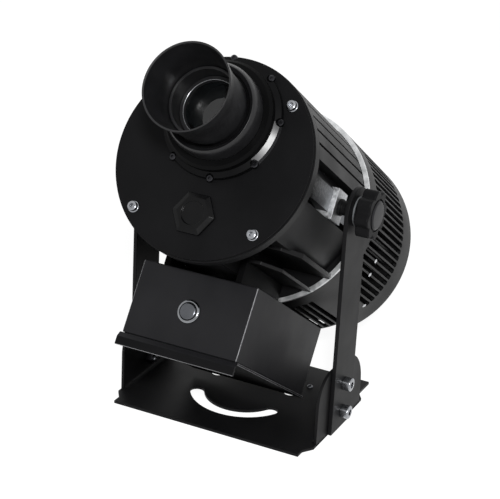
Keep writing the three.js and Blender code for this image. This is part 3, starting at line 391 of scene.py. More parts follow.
# Arms: two flat bars of mild steel with a round top, drilled for the pivot stud and two bolts.
# They are powder coated like the base, and stand on the outside of its ears.
hands = {"left": -1, "right": 1}
arm_lift = 1.5 * mm
arm_half_width = 23.2 * mm
stud_clearance = 5.5 * mm
arm_outline = [
    (pivot.y - arm_half_width, arm_lift),
    (pivot.y + arm_half_width, arm_lift),
    *arc((pivot.y, pivot.z), arm_half_width, 0, 180, 32),
]
arm_holes = [(pivot.z, stud_clearance), *((height, bolt_clearance) for height in bolt_heights.values())]
for hand in hands:
    low, high = node_box(f"arm_{hand}")
    near, far = sorted((low.x, high.x), key=abs)
    arm = extruded(f"arm_bar_{hand}", arm_outline, "X", near, far)
    reach = high.x - low.x + over
    for height, radius in arm_holes:
        cut(arm, drill(radius, (pivot.y, height), near - reach, near + reach, "X"))
    ease_edges(arm, 0.5 * mm, 3)
    hand_over(arm, "yoke", sheet_paint, f"arm_{hand}")


# Arm bolts and nuts: M8 cap screws of stainless steel, with a rolled shoulder and a broached hexagon
# socket, and hexagon nuts of blackened steel. They hold the arms to the base's ears.
def hexagon(middle, radius):
    return arc(middle, radius, 0, 300, 5)


# Stainless steel: turned bright, so that it mirrors the room with soft edges.
stainless = grained("stainless_steel", 1.2, 0.006, 5, ("#85878b", "#a0a2a6"), (0.16, 0.26), metal=1)
# Blackened steel: an oiled oxide skin, nearly black, with the dull gleam of metal.
blackened = grained("blackened_steel", 1.0, 0.01, 6, ("#2a2a2c", "#3a3a3d"), (0.28, 0.4), metal=1)
bolt_head = 8 * mm
bolt_socket_radius = 3.4 * mm
bolt_socket_depth = 4 * mm
nut_bore = 4.3 * mm
for hand, side in hands.items():
    for row, height in bolt_heights.items():
        low, high = node_box(f"arm_bolt_{hand}_{row}")
        tip, mouth = sorted((low.x, high.x), key=abs)
        head_radius = (high.z - low.z) / 2
        seat = mouth - side * bolt_head
        bolt_outline = [
            (0, mouth),
            (head_radius - 1.2 * mm, mouth),
            (head_radius - 0.35 * mm, mouth - side * 0.35 * mm),
            (head_radius, mouth - side * 1.2 * mm),
            (head_radius, seat),
            (4 * mm, seat),
            (4 * mm, tip + side * 0.8 * mm),
            (3.2 * mm, tip),
            (0, tip),
        ]
        bolt = turned(f"socket_screw_{hand}_{row}", bolt_outline, (pivot.y, height), "X", 48)
        socket = hexagon((pivot.y, height), bolt_socket_radius)
        cut(bolt, extruded("socket", socket, "X", mouth + side * over, mouth - side * bolt_socket_depth))
        ease_edges(bolt, 0.15 * mm)
        hand_over(bolt, "yoke", stainless, f"arm_bolt_{hand}_{row}", smooth=30)

        low, high = node_box(f"arm_nut_{hand}_{row}")
        nut_outline = hexagon((pivot.y, height), (high.y - low.y) / 2)
        nut = extruded(f"hexagon_nut_{hand}_{row}", nut_outline, "X", low.x, high.x)
        cut(nut, drill(nut_bore, (pivot.y, height), low.x - over, high.x + over, "X"))
        ease_edges(nut, 0.5 * mm)
        hand_over(nut, "yoke", blackened, f"arm_nut_{hand}_{row}", smooth=30)


# Clamp washers: plain washers turned from grey nylon, between each knob and its arm.
# They let the knob turn under load without scratching the paint.
def band(inner, outer, start, end):
    """The outline of a plain ring for the lathe."""
    return [(inner, start), (outer, start), (outer, end), (inner, end)]


# Grey nylon: a dull and waxy mid grey.
nylon = grained("grey_nylon", 0.8, 0.01, 8, ("#5f6163", "#6b6d70"), (0.45, 0.6), shine=0.4)
clamp_middle = (pivot.y, pivot.z)
for hand in hands:
    low, high = node_box(f"clamp_washer_{hand}")
    washer_outline = band(stud_clearance, (high.z - low.z) / 2, low.x, high.x)
    washer = turned(f"nylon_washer_{hand}", washer_outline, clamp_middle, "X", 64)
    ease_edges(washer, 0.3 * mm)
    hand_over(washer, "yoke", nylon, f"clamp_washer_{hand}")


# Clamp knobs: eight-lobed hand knobs moulded in black nylon over a steel stud.
# A round cap is pressed into the outer end, inside a groove, and hides the stud's head.

# Moulded nylon: the mould's fine texture leaves it matt black.
knob_plastic = grained("black_moulded_nylon", 0.9, 0.03, 12, ("#111112", "#171718"), (0.4, 0.5), shine=0.05)
# Cap plastic: smoother than the knob, so that it looks a shade lighter.
cap_plastic = grained("black_cap_plastic", 0.9, 0.012, 12, ("#1e1e20", "#252527"), (0.36, 0.44), shine=0.15)
lobes = 8
points_per_lobe = 12
scallop = 4.4 * mm
lobe_fullness = 0.6
grip_height = 18.5 * mm
neck_height = 3 * mm
cap_rise = 1.4 * mm
for hand, side in hands.items():
    low, high = node_box(f"clamp_knob_{hand}")
    near, far = sorted((low.x, high.x), key=abs)
    radius = (high.z - low.z) / 2
    seat = far - side * grip_height
    grip_end = far - side * cap_rise
    grip_outline = []
    for i in range(lobes * points_per_lobe):
        turn = 360 * i / (lobes * points_per_lobe)
        swell = (0.5 + 0.5 * math.cos(math.radians(lobes * turn))) ** lobe_fullness
        grip_outline.append(at(radius - scallop * (1 - swell), turn, clamp_middle))
    grip = extruded(f"lobed_knob_{hand}", grip_outline, "X", seat + side * neck_height, grip_end)
    ease_edges(grip, 2.2 * mm, 4, 60)
    groove_outline = profile(grip_end, ((13.9, -1.4), (15.5, -1.4), (15.8, 2), (13.7, 2)), side)
    cut(grip, turned("groove", groove_outline, clamp_middle, "X", 72))
    neck_outline = profile(seat, ((0, 0), (13.4, 0), (14, 0.6), (14, 4), (0, 4)), side)
    neck = turned("neck", neck_outline, clamp_middle, "X", 64)
    stud_outline = profile(near, ((0, 0), (4.2, 0), (5, 0.8)), side) + profile(seat, ((5, 1), (0, 1)), side)
    stud = turned("stud", stud_outline, clamp_middle, "X", 40)
    join(grip, neck, stud)
    hand_over(grip, f"{hand}_knob", knob_plastic, f"clamp_knob_{hand}", smooth=50)
    cap_outline = profile(far, ((0, -2.4), (13.7, -2.4), (13.7, -1.1), (12.8, -0.3), (11.5, 0), (0, 0)), side)
    cap = turned(f"knob_cap_{hand}", cap_outline, clamp_middle, "X", 72)
    hand_over(cap, f"{hand}_knob", cap_plastic)


# Pivot blocks: blocks of cast aluminium, sawn and blasted, and tapped for the studs of the knobs.
# They sit in the side channels of the body, and carry the whole head in its yoke.

# The head's pieces are modelled level, with the head's axis along Y and the front plate's face at y = 0.
# They are then tipped about the pivot, as the joint's place and the lens's axis say.
lens_direction = Vector(joints["focus_slide"]["axis"])
tilt = math.atan2(lens_direction.z, -lens_direction.y)
tip_head = Matrix.Rotation(-tilt, 4, "X")
untip = tip_head.inverted()
pivot_depth = -min((untip @ (v.co - pivot)).y for v in frame["nodes"]["front_plate"].data.vertices)
head_place = Matrix.Translation(pivot) @ tip_head @ Matrix.Translation((0, -pivot_depth, 0))

# Blasted aluminium: coarse grit leaves it pale, with a bright sparkle.
blasted_aluminium = grained("blasted_aluminium", 1.6, 0.25, 2.5, ("#9ea0a2", "#d2d3d5"), (0.35, 0.6), metal=1)
tapped_depth = 17 * mm
for hand, side in hands.items():
    low, high = node_box(f"pivot_block_{hand}", head_place)
    block = block_between(f"pivot_block_{hand}_cast", low, high)
    outer = max(low.x, high.x, key=abs)
    mouth, bottom = outer + side * over, outer - side * tapped_depth
    cut(block, drill(stud_clearance, (pivot_depth, 0), mouth, bottom, "X"))
    ease_edges(block, 0.3 * mm)
    hand_over(block, "head", blasted_aluminium, f"pivot_block_{hand}", head_place)


# Friction discs: spacers turned from black plastic, between the pivot blocks and the arms.
# The knobs squeeze them, and their grip holds the head at its tilt.

# Turned black plastic: smooth and matt, with hardly a highlight.
disc_plastic = grained("black_disc_plastic", 0.9, 0.015, 12, ("#0b0b0c", "#0f0f10"), (0.4, 0.5), shine=0.1)
disc_rim = 3 * mm
disc_slope = 1 * mm
for hand in hands:
    low, high = node_box(f"friction_disc_{hand}", head_place)
    radius = (high.z - low.z) / 2
    waist = radius - 1.2 * mm
    disc_outline = [
        (stud_clearance, low.x),
        (radius, low.x),
        (radius, low.x + disc_rim),
        (waist, low.x + disc_rim + disc_slope),
        (waist, high.x - disc_rim - disc_slope),
        (radius, high.x - disc_rim),
        (radius, high.x),
        (stud_clearance, high.x),
    ]
    disc = turned(f"friction_spacer_{hand}", disc_outline, (pivot_depth, 0), "X", 64)
    ease_edges(disc, 0.4 * mm)
    hand_over(disc, "head", disc_plastic, f"friction_disc_{hand}", head_place)


# Front ring: a flat ring of cast aluminium that closes the front of the body, behind the front plate.
# It is turned flat where the plate seats, and bored for the lens.

# Body paint: sprayed satin black over a cast skin, whose unevenness softens every highlight.
body_paint = grained("satin_black_body_paint", 1.1, 0.02, 45, ("#0e0e0f", "#131314"), (0.4, 0.52), shine=0.14)
ring_low, ring_high = node_box("body_front_ring", head_place)
body_radius = (ring_high.x - ring_low.x) / 2
lens_low, lens_high = node_box("lens_flange", head_place)
lens_rise = (lens_low.z + lens_high.z) / 2
lens_middle = (0, lens_rise)
lens_opening = 44.5 * mm
front_ring = turned("cast_front_ring", band(0, body_radius, ring_low.y, ring_high.y), steps=160)
cut(front_ring, drill(lens_opening, lens_middle, ring_low.y - over, ring_high.y + over, steps=96))
ease_edges(front_ring, 0.6 * mm)
hand_over(front_ring, "head", body_paint, "body_front_ring", head_place)


# Front plate: a round plate turned from aluminium and powder coated with a fine texture.
# Four screws hold it to the casting, and a large hole lets the lens through.
def dress_faces(piece, material, wanted):
    """Gives a second finish to the faces of a head piece that a test of their middle and normal accepts."""
    back = head_place.inverted()
    piece.data.materials.append(material)
    for face in piece.data.polygons:
        if wanted(back @ face.center, back.to_3x3() @ face.normal):
            face.material_index = len(piece.data.materials) - 1


# Plate paint: a fine-textured powder, which spreads a highlight until it is nearly gone.
plate_paint = grained("textured_plate_paint", 1.0, 0.03, 55, ("#0f0f10", "#151516"), (0.42, 0.54), shine=0.05)
plate_low, plate_high = node_box("front_plate", head_place)
plate_radius = (plate_high.x - plate_low.x) / 2
front_plate = turned("round_front_plate", band(0, plate_radius, plate_low.y, plate_high.y), steps=160)
cut(front_plate, drill(lens_opening, lens_middle, plate_low.y - over, plate_high.y + over, steps=96))
ease_edges(front_plate, 0.8 * mm, 3)
hand_over(front_plate, "head", plate_paint, "front_plate", head_place)

# Painted edge highlight: a pale grey painted on the bevels of sharp edges, standing for the thin highlight
# that the light draws along them.
painted_edge_highlight = grained("pale_edges_painted_highlight", 1.0, 0.02, 6, ("#5c5c5f", "#858588"), (0.3, 0.4), shine=0.5)


# The plate's rim bevel gets the pale painted edge highlight.
def on_plate_edge(middle, normal):
    return -0.95 < normal.y < -0.15 and math.hypot(middle.x, middle.z) > plate_radius - mm


dress_faces(front_plate, painted_edge_highlight, on_plate_edge)


# Front plate screws: M5 cap screws of stainless steel, with a turned collar under the head and a
# hexagon socket. They go through the plate and the front ring into the casting.
for number in (1, 2, 3, 4):
    low, high = node_box(f"plate_screw_{number}", head_place)
    middle = ((low.x + high.x) / 2, (low.z + high.z) / 2)
    collar = (high.x - low.x) / 2
    collar_front = low.y + 3.8 * mm
    screw_outline = [
        *profile(low.y, ((0, 0), (3.4, 0), (4.3, 0.4), (4.6, 1.2), (4.6, 3.8))),
        (collar - 0.5 * mm, collar_front),
        (collar, collar_front + 0.4 * mm),
        (collar, collar_front + 1.2 * mm),
        *profile(low.y, ((2.5, 5),)),
        *profile(high.y, ((2.5, 0), (0, 0))),
    ]
    screw = turned(f"button_screw_{number}", screw_outline, middle, steps=48)
    cut(screw, extruded("socket", hexagon(middle, 2.3 * mm), "Y", low.y - over, low.y + 2.6 * mm))
    ease_edges(screw, 0.12 * mm, 2, 30)
    hand_over(screw, "head", stainless, f"plate_screw_{number}", head_place, smooth=30)


# Blanking plug: a hexagon moulded in black plastic, domed off towards a shallow round recess.
# Its shank is pushed into a spare hole in the front plate.
def select_faces(piece, wanted):
    """Selects the faces whose middle a test accepts, in edit mode."""
    to_object_mode()
    for element in (*piece.data.vertices, *piece.data.edges, *piece.data.polygons):
        element.select = False
    for face in piece.data.polygons:
        face.select = wanted(face.center)
    bpy.ops.object.mode_set(mode="EDIT")
    bpy.ops.mesh.select_mode(type="FACE")


# Plug plastic: pressed smooth, so that the edges of its dome catch small glints.
plug_plastic = grained("black_plug_plastic", 1.0, 0.008, 15, ("#09090a", "#0e0e0f"), (0.2, 0.28), shine=0.12)
low, high = node_box("blanking_plug", head_place)
plug_middle = (0, (low.z + high.z) / 2)
plug_back = low.y + 5 * mm
dome_width = 4.6 * mm
dome_fall = 1.9 * mm
plug_outline = hexagon(plug_middle, (high.x - low.x) / 2)
plug = extruded("hexagon_plug", plug_outline, "Y", plug_back, low.y + dome_fall)
select_faces(plug, lambda middle: middle.y < low.y + dome_fall + 0.1 * mm)
bpy.ops.mesh.inset(thickness=dome_width, depth=dome_fall)
bpy.ops.mesh.select_mode(type="VERT")
to_object_mode()
recess_outline = profile(low.y, ((0, -2), (11.5, -2), (10.8, 1.2), (0, 1.2)))
cut(plug, turned("recess", recess_outline, plug_middle, steps=64))
ease_edges(plug, 0.6 * mm, 3, 20)
shank_outline = band(0, 11 * mm, plug_back - mm, high.y)
join(plug, turned("shank", shank_outline, plug_middle, steps=48))
hand_over(plug, "head", plug_plastic, "blanking_plug", head_place, smooth=35)


# Lens flange: turned from aluminium bar and anodised black, with eight scallops milled for its screws.
# Its sleeve guides the lens barrel inside and carries the focus ring outside.
def turning_marked(name, height, tones, roughness, shine=0.5, metal=0, rise=lens_rise):
    """A material with rings round an axis along the head, and steps along it, as a lathe tool leaves them."""
    material = finish_of(name, Specular_IOR_Level=shine, Metallic=metal)
    tree = material.node_tree
    place = add_node(tree, "ShaderNodeTexCoord").outputs["Object"]
    centred = add_node(
        tree,
        "ShaderNodeMapping",
        {"Vector": place},
        {"Location": -(head_place @ Vector((0, 0, rise)))},
        vector_type="POINT",
    )
    upright = add_node(
        tree,
        "ShaderNodeMapping",
        {"Vector": centred.outputs["Vector"]},
        {"Rotation": (math.pi / 2 + tilt, 0, 0)},
        vector_type="POINT",
    )
    marks = [
        add_node(
            tree,
            "ShaderNodeTexWave",
            {"Vector": upright.outputs["Vector"]},
            {"Scale": math.tau / wave_turns / mark_pitch, "Distortion": 0.4, "Detail": 2},
            **pattern,
        ).outputs["Fac"]
        for pattern in (
            {"wave_type": "RINGS", "rings_direction": "Z"},
            {"wave_type": "BANDS", "bands_direction": "Z"},
        )
    ]
    relief = add_node(tree, "ShaderNodeMath", {0: marks[0], 1: marks[1]}, operation="ADD").outputs["Value"]
    haze = add_node(tree, "ShaderNodeTexNoise", {"Vector": place}, {"Scale": 1 / haze_patch, "Detail": 3})
    weather(material, relief, height, haze.outputs["Fac"], tones, (0, 1), roughness)
    return material


# The tool's marks are a few hundredths of a millimetre apart, and are drawn at 7.5 so that they show.
# A wave texture turns through 20 radians in each unit.
mark_pitch = 7.54 * mm
wave_turns = 20
haze_patch = 18 * mm
# Matt anodising: a black that soaks up nearly all of the light.
matt_anodised = turning_marked(
    "matt_anodised_aluminium", 0.004, ("#080808", "#0c0c0d"), (0.3, 0.4), shine=0.04
)
flange_radius = (lens_high.x - lens_low.x) / 2
flange_back = plate_low.y - 0.3 * mm
flange_front = flange_back - 8 * mm
drum_front = flange_front - 9 * mm
drum_radius = 51.5 * mm
drum_chamfer = 2.5 * mm
guide = 33.5 * mm
sleeve = 38 * mm
spigot = 44 * mm
flange_outline = [
    (guide, lens_high.y),
    (spigot, lens_high.y),
    (spigot, flange_back),
    (flange_radius, flange_back),
    (flange_radius, flange_front + 2.2 * mm),
    (drum_radius, flange_front),
    (drum_radius, drum_front + drum_chamfer),
    (drum_radius - drum_chamfer, drum_front),
    (sleeve, drum_front),
    (sleeve, lens_low.y),
    (guide, lens_low.y),
]
flange = turned("turned_lens_flange", flange_outline, lens_middle, steps=160)
notches = 8
first_notch = 6.5
notch_radius = 4 * mm
notch_back = flange_back - 4 * mm
notch_places = [at(flange_radius, first_notch + 360 * i / notches, lens_middle) for i in range(notches)]
for middle in notch_places:
    cut(flange, drill(notch_radius, middle, drum_front - over, notch_back, steps=40))
ease_edges(flange, 0.35 * mm)
hand_over(flange, "head", matt_anodised, "lens_flange", head_place)


def on_flange_edge(middle, normal):
    reach = math.hypot(middle.x, middle.z - lens_rise)
    return reach > drum_radius + 0.6 * mm and middle.y < flange_back - 0.6 * mm


# The arc on the right between two scallops, where the highlight is painted.
def on_flange_highlight_arc(middle, normal):
    angle = math.degrees(math.atan2(middle.z - lens_rise, middle.x))
    return on_flange_edge(middle, normal) and first_notch - 360 / notches < angle < first_notch


# Coarsely turned edge: the same black over a rougher cut, a shade lighter than the drum.
turned_edge = turning_marked("coarsely_turned_edge", 0.01, ("#070708", "#0f0f10"), (0.3, 0.4), shine=0.06)
# Painted highlight: a lighter, shinier black is painted on the flange's edge on the right, between two
# scallops, where the light catches that edge.
flange_painted_highlight = turning_marked("flange_edge_painted_highlight", 0.01, ("#1c1c1d", "#4c4c4e"), (0.22, 0.36), shine=0.5)
dress_faces(flange, turned_edge, on_flange_edge)
dress_faces(flange, flange_painted_highlight, on_flange_highlight_arc)


# Flange screws: small cap screws of blackened steel, with a hexagon socket.
# They sit in the scallops and hold the flange to the plate.
flange_screw_outline = profile(notch_back, ((0, -2.6), (2.4, -2.6), (3.1, -2), (3.3, -0.05), (0, -0.05)))
for number, middle in enumerate(notch_places, 1):
    screw = turned(f"flange_screw_{number}", flange_screw_outline, middle, steps=32)
    socket = hexagon(middle, 1.5 * mm)
    cut(screw, extruded("socket", socket, "Y", notch_back - 4 * mm, notch_back - 1.2 * mm))
    hand_over(screw, "head", blackened, place=head_place, smooth=30)


# Focus ring: a ring turned from aluminium tube and anodised, which runs on the flange's sleeve.
# Its nose is chamfered, and an inner lip covers the sleeve's front end.

# Satin anodising: black, with a soft sheen along the turning marks.
anodised = turning_marked("satin_anodised_aluminium", 0.004, ("#141415", "#1d1d1f"), (0.3, 0.4), shine=0.35)
ring_low, ring_high = node_box("focus_ring", head_place)
ring_radius = (ring_high.x - ring_low.x) / 2
ring_bore = 38.5 * mm
lip_bore = 36.8 * mm
nose = ring_low.y
lip = nose + 3.2 * mm
lip_thick = 4 * mm
focus_ring_outline = [
    (ring_bore, ring_high.y),
    (ring_radius, ring_high.y),
    (ring_radius, nose + 5 * mm),
    (ring_radius - 1.8 * mm, nose + 1.2 * mm),
    (ring_radius - 3 * mm, nose),
    (lip_bore, lip),
    (lip_bore, lip + lip_thick),
    (ring_bore, lip + lip_thick),
]
focus_ring = turned("turned_focus_ring", focus_ring_outline, lens_middle, steps=160)
ease_edges(focus_ring, 0.3 * mm)
hand_over(focus_ring, "focus_ring", anodised, "focus_ring", head_place)


# Lens barrel: a thin tube of anodised aluminium that slides in the flange's sleeve.
# It carries the lens hood in front, and the front lens inside.
low, high = node_box("lens_barrel", head_place)
barrel_radius = (high.x - low.x) / 2
barrel_bore = barrel_radius - 2.5 * mm
barrel_outline = band(barrel_bore, barrel_radius, low.y, high.y)
barrel = turned("turned_barrel", barrel_outline, lens_middle, steps=128)
ease_edges(barrel, 0.3 * mm)
hand_over(barrel, "sliding_barrel", anodised, "lens_barrel", head_place)


# Lens hood: a bell spun from thin aluminium sheet over a former, and anodised black.
# It is pressed over the barrel's front end, and opens slowly and then fast to a thin rim.
low, high = node_box("lens_hood", head_place)
rim_radius = (high.x - low.x) / 2
neck_radius = 35 * mm
hood_wall = 1.6 * mm
barrel_fit = 0.3 * mm
rim_turn = 0.5 * mm
opened = (0, 0.04, 0.16, 0.4, 0.74, 1)
steps_each = 4
stretches = len(opened) - 1
bell = []
for i in range(stretches * steps_each + 1):
    stretch = min(i // steps_each, stretches - 1)
    share = i / steps_each - stretch
    opening = opened[stretch] + (opened[stretch + 1] - opened[stretch]) * share
    forward = (high.y - low.y) * i / (stretches * steps_each)
    bell.append((neck_radius + (rim_radius - neck_radius) * opening, high.y - forward))
inside = []
for radius, depth in bell:
    turn_in = rim_turn if depth < low.y + mm else 0
    inside.append((max(radius - hood_wall, barrel_radius + barrel_fit), depth + turn_in))
hood = turned("spun_hood", [*bell, *reversed(inside)], lens_middle, steps=160)
hand_over(hood, "sliding_barrel", anodised, "lens_hood", head_place, smooth=50)


# Front lens: crown glass, ground and polished to a deep curve in front and a shallow one behind, and
# coated against reflections. It sits in the barrel's front end.

# Lens glass: tinted nearly black, which paints the shade of the dark barrel into the glass, with one soft
# reflection.
glass = finish_of(
    "lens_glass_painted_dark", Transmission_Weight=1.0, IOR=1.52, Roughness=0.02, Specular_IOR_Level=0.06
)
tint_patch = 1.7 * mm
tree = glass.node_tree
place = add_node(tree, "ShaderNodeTexCoord").outputs["Object"]
cloud = add_node(tree, "ShaderNodeTexNoise", {"Vector": place}, {"Scale": 1 / tint_patch, "Detail": 1})
painted_shade_tint = add_node(tree, "ShaderNodeValToRGB", {"Fac": cloud.outputs["Fac"]})
for element, tone in zip(painted_shade_tint.color_ramp.elements, ("#383f43", "#444c50")):
    element.color = linear(tone)
tree.links.new(painted_shade_tint.outputs["Color"], tree.nodes["Principled BSDF"].inputs["Base Color"])
low, high = node_box("front_lens", head_place)
lens_radius = (high.x - low.x) / 2
front_crown, front_curve = 4.5 * mm, 2.6
back_crown, back_curve = 2.25 * mm, 2
edge_front = low.y + front_crown
edge_back = edge_front + 4 * mm
shares = [i / 16 for i in range(17)]
front_face = [(lens_radius * s, edge_front - front_crown * (1 - s ** front_curve)) for s in shares]
back_face = [(lens_radius * s, edge_back + back_crown * (1 - s ** back_curve)) for s in shares]
front_lens = turned("front_lens_glass", front_face + back_face[::-1], lens_middle)
hand_over(front_lens, "sliding_barrel", glass, "front_lens", head_place)


# Retaining ring: a thin threaded ring of aluminium that holds the lens in the barrel.
# It is anodised with the barrel, and its inner edge is turned afterwards.
low, high = node_box("retaining_ring", head_place)
retainer_bore = 25.1 * mm
retainer_chamfer = 1.5 * mm
retainer_outline = [
    (retainer_bore + retainer_chamfer, low.y),
    (lens_radius, low.y),
    (lens_radius, high.y),
    (retainer_bore, high.y),
    (retainer_bore, high.y - 0.6 * mm),
]
retainer = turned("lens_retaining_ring", retainer_outline, lens_middle, steps=128)
ease_edges(retainer, 0.2 * mm)
hand_over(retainer, "sliding_barrel", anodised, "retaining_ring", head_place)


def on_retainer_edge(middle, normal):
    reach = math.hypot(middle.x, middle.z - lens_rise)
    return middle.y < low.y + 0.7 * mm and reach < retainer_bore + 1.9 * mm


# Bare turned edge: the cut goes through the black, and the metal shows as a thin bright arc.
bright_edge = turning_marked("bare_turned_edge", 0.004, ("#8f9194", "#b4b6b9"), (0.2, 0.3), metal=1)
dress_faces(retainer, bright_edge, on_retainer_edge)


# Finned body: a die-cast aluminium body, painted satin black. Its upper half carries close-set cooling fins,
# its sides a channel with a rib for the pivot block, and its underside flat panels, two shelves and a keel.
# It is bored for the light's path, and the front ring is screwed to it.
low, high = node_box("finned_body", head_place)
rim_low, rim_high = node_box("shroud_front_ring", head_place)
fit_gap = 0.3 * mm
body_back = rim_low.y - fit_gap
rim_bore = 96.5 * mm
shroud_radius = (rim_high.x - rim_low.x) / 2
fin_pitch = 8
fin_gap = 2.4 * mm
fin_root = body_radius - 11 * mm
first_gap = 22
channel_top = 22 * mm
channel_bottom = -15.5 * mm
core_radius = 66 * mm
panel_radius = 91.3 * mm
panel_bottom = -56 * mm
rib_reach = 88 * mm
rib_top = 12 * mm
rib_bottom = -9 * mm
rib_slope = 8 * mm
channel = [
    (core_radius * math.cos(math.asin(channel_bottom / core_radius)), channel_bottom),
    (core_radius * math.cos(math.asin(rib_bottom / core_radius)), rib_bottom),
    (rib_reach, rib_bottom),
    (rib_reach, rib_top),
    (rib_reach - rib_slope, channel_top),
]
first_angle = math.degrees(math.asin(channel_top / body_radius))
last_angle = 180 - first_angle
gap_half = math.degrees(fin_gap / 2 / body_radius)
gap_root_half = math.degrees(fin_gap / 2 / fin_root)
body_outline = [at(body_radius, first_angle)]
fin_start = first_angle
for gap in range(first_gap, 180 - first_gap + 1, fin_pitch):
    body_outline += [
        at(body_radius, (fin_start + gap - gap_half) / 2),
        at(body_radius, gap - gap_half),
        at(fin_root, gap - gap_root_half),
        at(fin_root, gap + gap_root_half),
        at(body_radius, gap + gap_half),
    ]
    fin_start = gap + gap_half
panel_top_angle = math.degrees(math.asin(channel_bottom / panel_radius))
panel_low_angle = math.degrees(math.asin(panel_bottom / panel_radius))
body_outline += [at(body_radius, (fin_start + last_angle) / 2), at(body_radius, last_angle)]
body_outline += [(-x, z) for x, z in reversed(channel)]
body_outline += arc((0, 0), panel_radius, 180 - panel_top_angle, 180 - panel_low_angle, 8)
body_outline += arc((0, 0), panel_radius, panel_low_angle, panel_top_angle, 8)
body_outline += channel
finned = extruded("cast_finned_body", body_outline, "Y", low.y, body_back)

pocket_reach = 100 * mm
block_low, block_high = node_box("pivot_block_right", head_place)
for side in (-1, 1):
    near, far = sorted((side * core_radius, side * pocket_reach))
    pocket = block_between(
        "pocket",
        (near, block_low.y - fit_gap, block_low.z - fit_gap),
        (far, block_high.y + fit_gap, block_high.z + fit_gap),
    )
    cut(finned, pocket)
optic_bore = 45 * mm
optic_depth = 118 * mm
cut(finned, drill(optic_bore, lens_middle, low.y - over, optic_depth, steps=96))
ease_edges(finned, 0.35 * mm, 2, 50)

keel_half = 33.7 * mm
keel_bottom = -90 * mm
keel_top = panel_bottom + 3 * mm
keel_inset = 0.2 * mm
keel = block_between(
    "keel",
    (-keel_half, low.y + keel_inset, keel_bottom),
    (keel_half, body_back - keel_inset, keel_top),
)
ease_edges(keel, 0.6 * mm)
join(finned, keel)
shelf_start = 57 * mm
shelf_slope = 16 * mm
shelf_back = high.y - 0.1 * mm
shelf_places = ((-54 * mm, 5 * mm), (-72.3 * mm, 3.4 * mm))
for top, thick in shelf_places:
    reach = math.sqrt(shroud_radius ** 2 - (top - thick) ** 2)
    shelf_outline = [
        (-reach, shelf_start + shelf_slope),
        (-reach + shelf_slope, shelf_start),
        (reach - shelf_slope, shelf_start),
        (reach, shelf_start + shelf_slope),
        (reach, shelf_back),
        (-reach, shelf_back),
    ]
    shelf = extruded("shelf", shelf_outline, "Z", top - thick, top)
    cut(shelf, drill(rim_bore, (0, 0), body_back, high.y + over, steps=180))
    ease_edges(shelf, 0.7 * mm, 3)
    join(finned, shelf)
hand_over(finned, "head", body_paint, "finned_body", head_place)


def on_keel_side(middle, normal):
    return abs(abs(middle.x) - keel_half) < 0.7 * mm and keel_bottom < middle.z < panel_bottom


def on_rib_face(middle, normal):
    return abs(middle.x) > rib_reach - fit_gap and rib_bottom < middle.z < rib_top and abs(normal.x) > 0.9


# Black primer, bare of top coat, and painted shade: the dullest black on the head, which also paints the
# shade under the body and the box onto the keel's sides, the rails and the tray's underside.
primer_and_painted_shade = grained("dull_primer_painted_shade", 1.1, 0.02, 30, ("#070707", "#0a0a0b"), (0.5, 0.6), shine=0.02)
dress_faces(finned, primer_and_painted_shade, on_keel_side)
# Rib face: coarse cast metal, bare behind; towards the plate its colour fades to black, which paints the
# shade that falls on the rib near the plate.
rib_bare_and_painted_shade = grained(
    "cast_rib_bare_and_painted_shade", 1.6, 0.25, 2.5, ("#8f9194", "#c4c6c9"), (0.35, 0.6), metal=1
)
shade_until, bare_from = 34 * mm, 84 * mm
backwards = head_place.to_3x3() @ Vector((0, 1, 0))
plate_face = head_place.translation.dot(backwards)
tree = rib_bare_and_painted_shade.node_tree
place = add_node(tree, "ShaderNodeTexCoord").outputs["Object"]
along = add_node(tree, "ShaderNodeVectorMath", {0: place}, {1: backwards}, operation="DOT_PRODUCT")
fade = add_node(
    tree,
    "ShaderNodeMapRange",
    {"Value": along.outputs["Value"]},
    {"From Min": plate_face + shade_until, "From Max": plate_face + bare_from},
)
ramp = add_node(tree, "ShaderNodeValToRGB", {"Fac": fade.outputs["Result"]})
for element, tone in zip(ramp.color_ramp.elements, ("#0a0a0b", "#828487")):
    element.color = linear(tone)
tree.links.new(ramp.outputs["Color"], tree.nodes["Principled BSDF"].inputs["Base Color"])
dress_faces(finned, rib_bare_and_painted_shade, on_rib_face)


# Rails: two aluminium bars under the body, sawn to length and screwed to the driver box.
# They are primed with the body and get no top coat, and their dull black also paints the shade under the
# body.
for hand in hands:
    low, high = node_box(f"box_rail_{hand}", head_place)
    rail = block_between(f"box_rail_{hand}_bar", low, high)
    ease_edges(rail, 0.5 * mm)
    hand_over(rail, "head", primer_and_painted_shade, f"box_rail_{hand}", head_place)


# Bright ring: the rim that joins the body to the shroud, machined from aluminium and left bare.
# It is notched where the body's two shelves lap over it.
rim_outline = band(rim_bore, shroud_radius, rim_low.y, rim_high.y)
bright_ring = turned("machined_rim", rim_outline, steps=160)
lap_depth = 1.8 * mm
lap_reach = 110 * mm
for top, thick in shelf_places:
    lap = block_between(
        "lap",
        (-lap_reach, rim_low.y - over, top - thick - fit_gap),
        (lap_reach, rim_low.y + lap_depth, top + fit_gap),
    )
    cut(bright_ring, lap)
ease_edges(bright_ring, 0.4 * mm)
# Machined aluminium: nearly white, with a fine satin grain.
rim_aluminium = grained("machined_aluminium", 1.2, 0.02, 8, ("#cccecf", "#e6e7e8"), (0.35, 0.5), metal=1)
hand_over(bright_ring, "head", rim_aluminium, "shroud_front_ring", head_place)


# Rear shroud: a cast aluminium sleeve round the heat sink and the fan, with long air slots, painted like
# the body. A band on each side is left plain, and the bottom of the back is cut away for the cable.
# One slot is cut in a narrow strip of the wall, the strip is repeated round, and the wall is thickened.
low, high = node_box("rear_shroud", head_place)
slot_count = 90
strip_turn = 360 / slot_count
slot_half_turn = math.degrees(2.5 * mm / shroud_radius)
slot_front = 182 * mm
slot_back = 280 * mm
slot_corner = 1.6 * mm
corner_narrowing = 0.45
shroud_wall = 4 * mm
back_bevel = 3 * mm


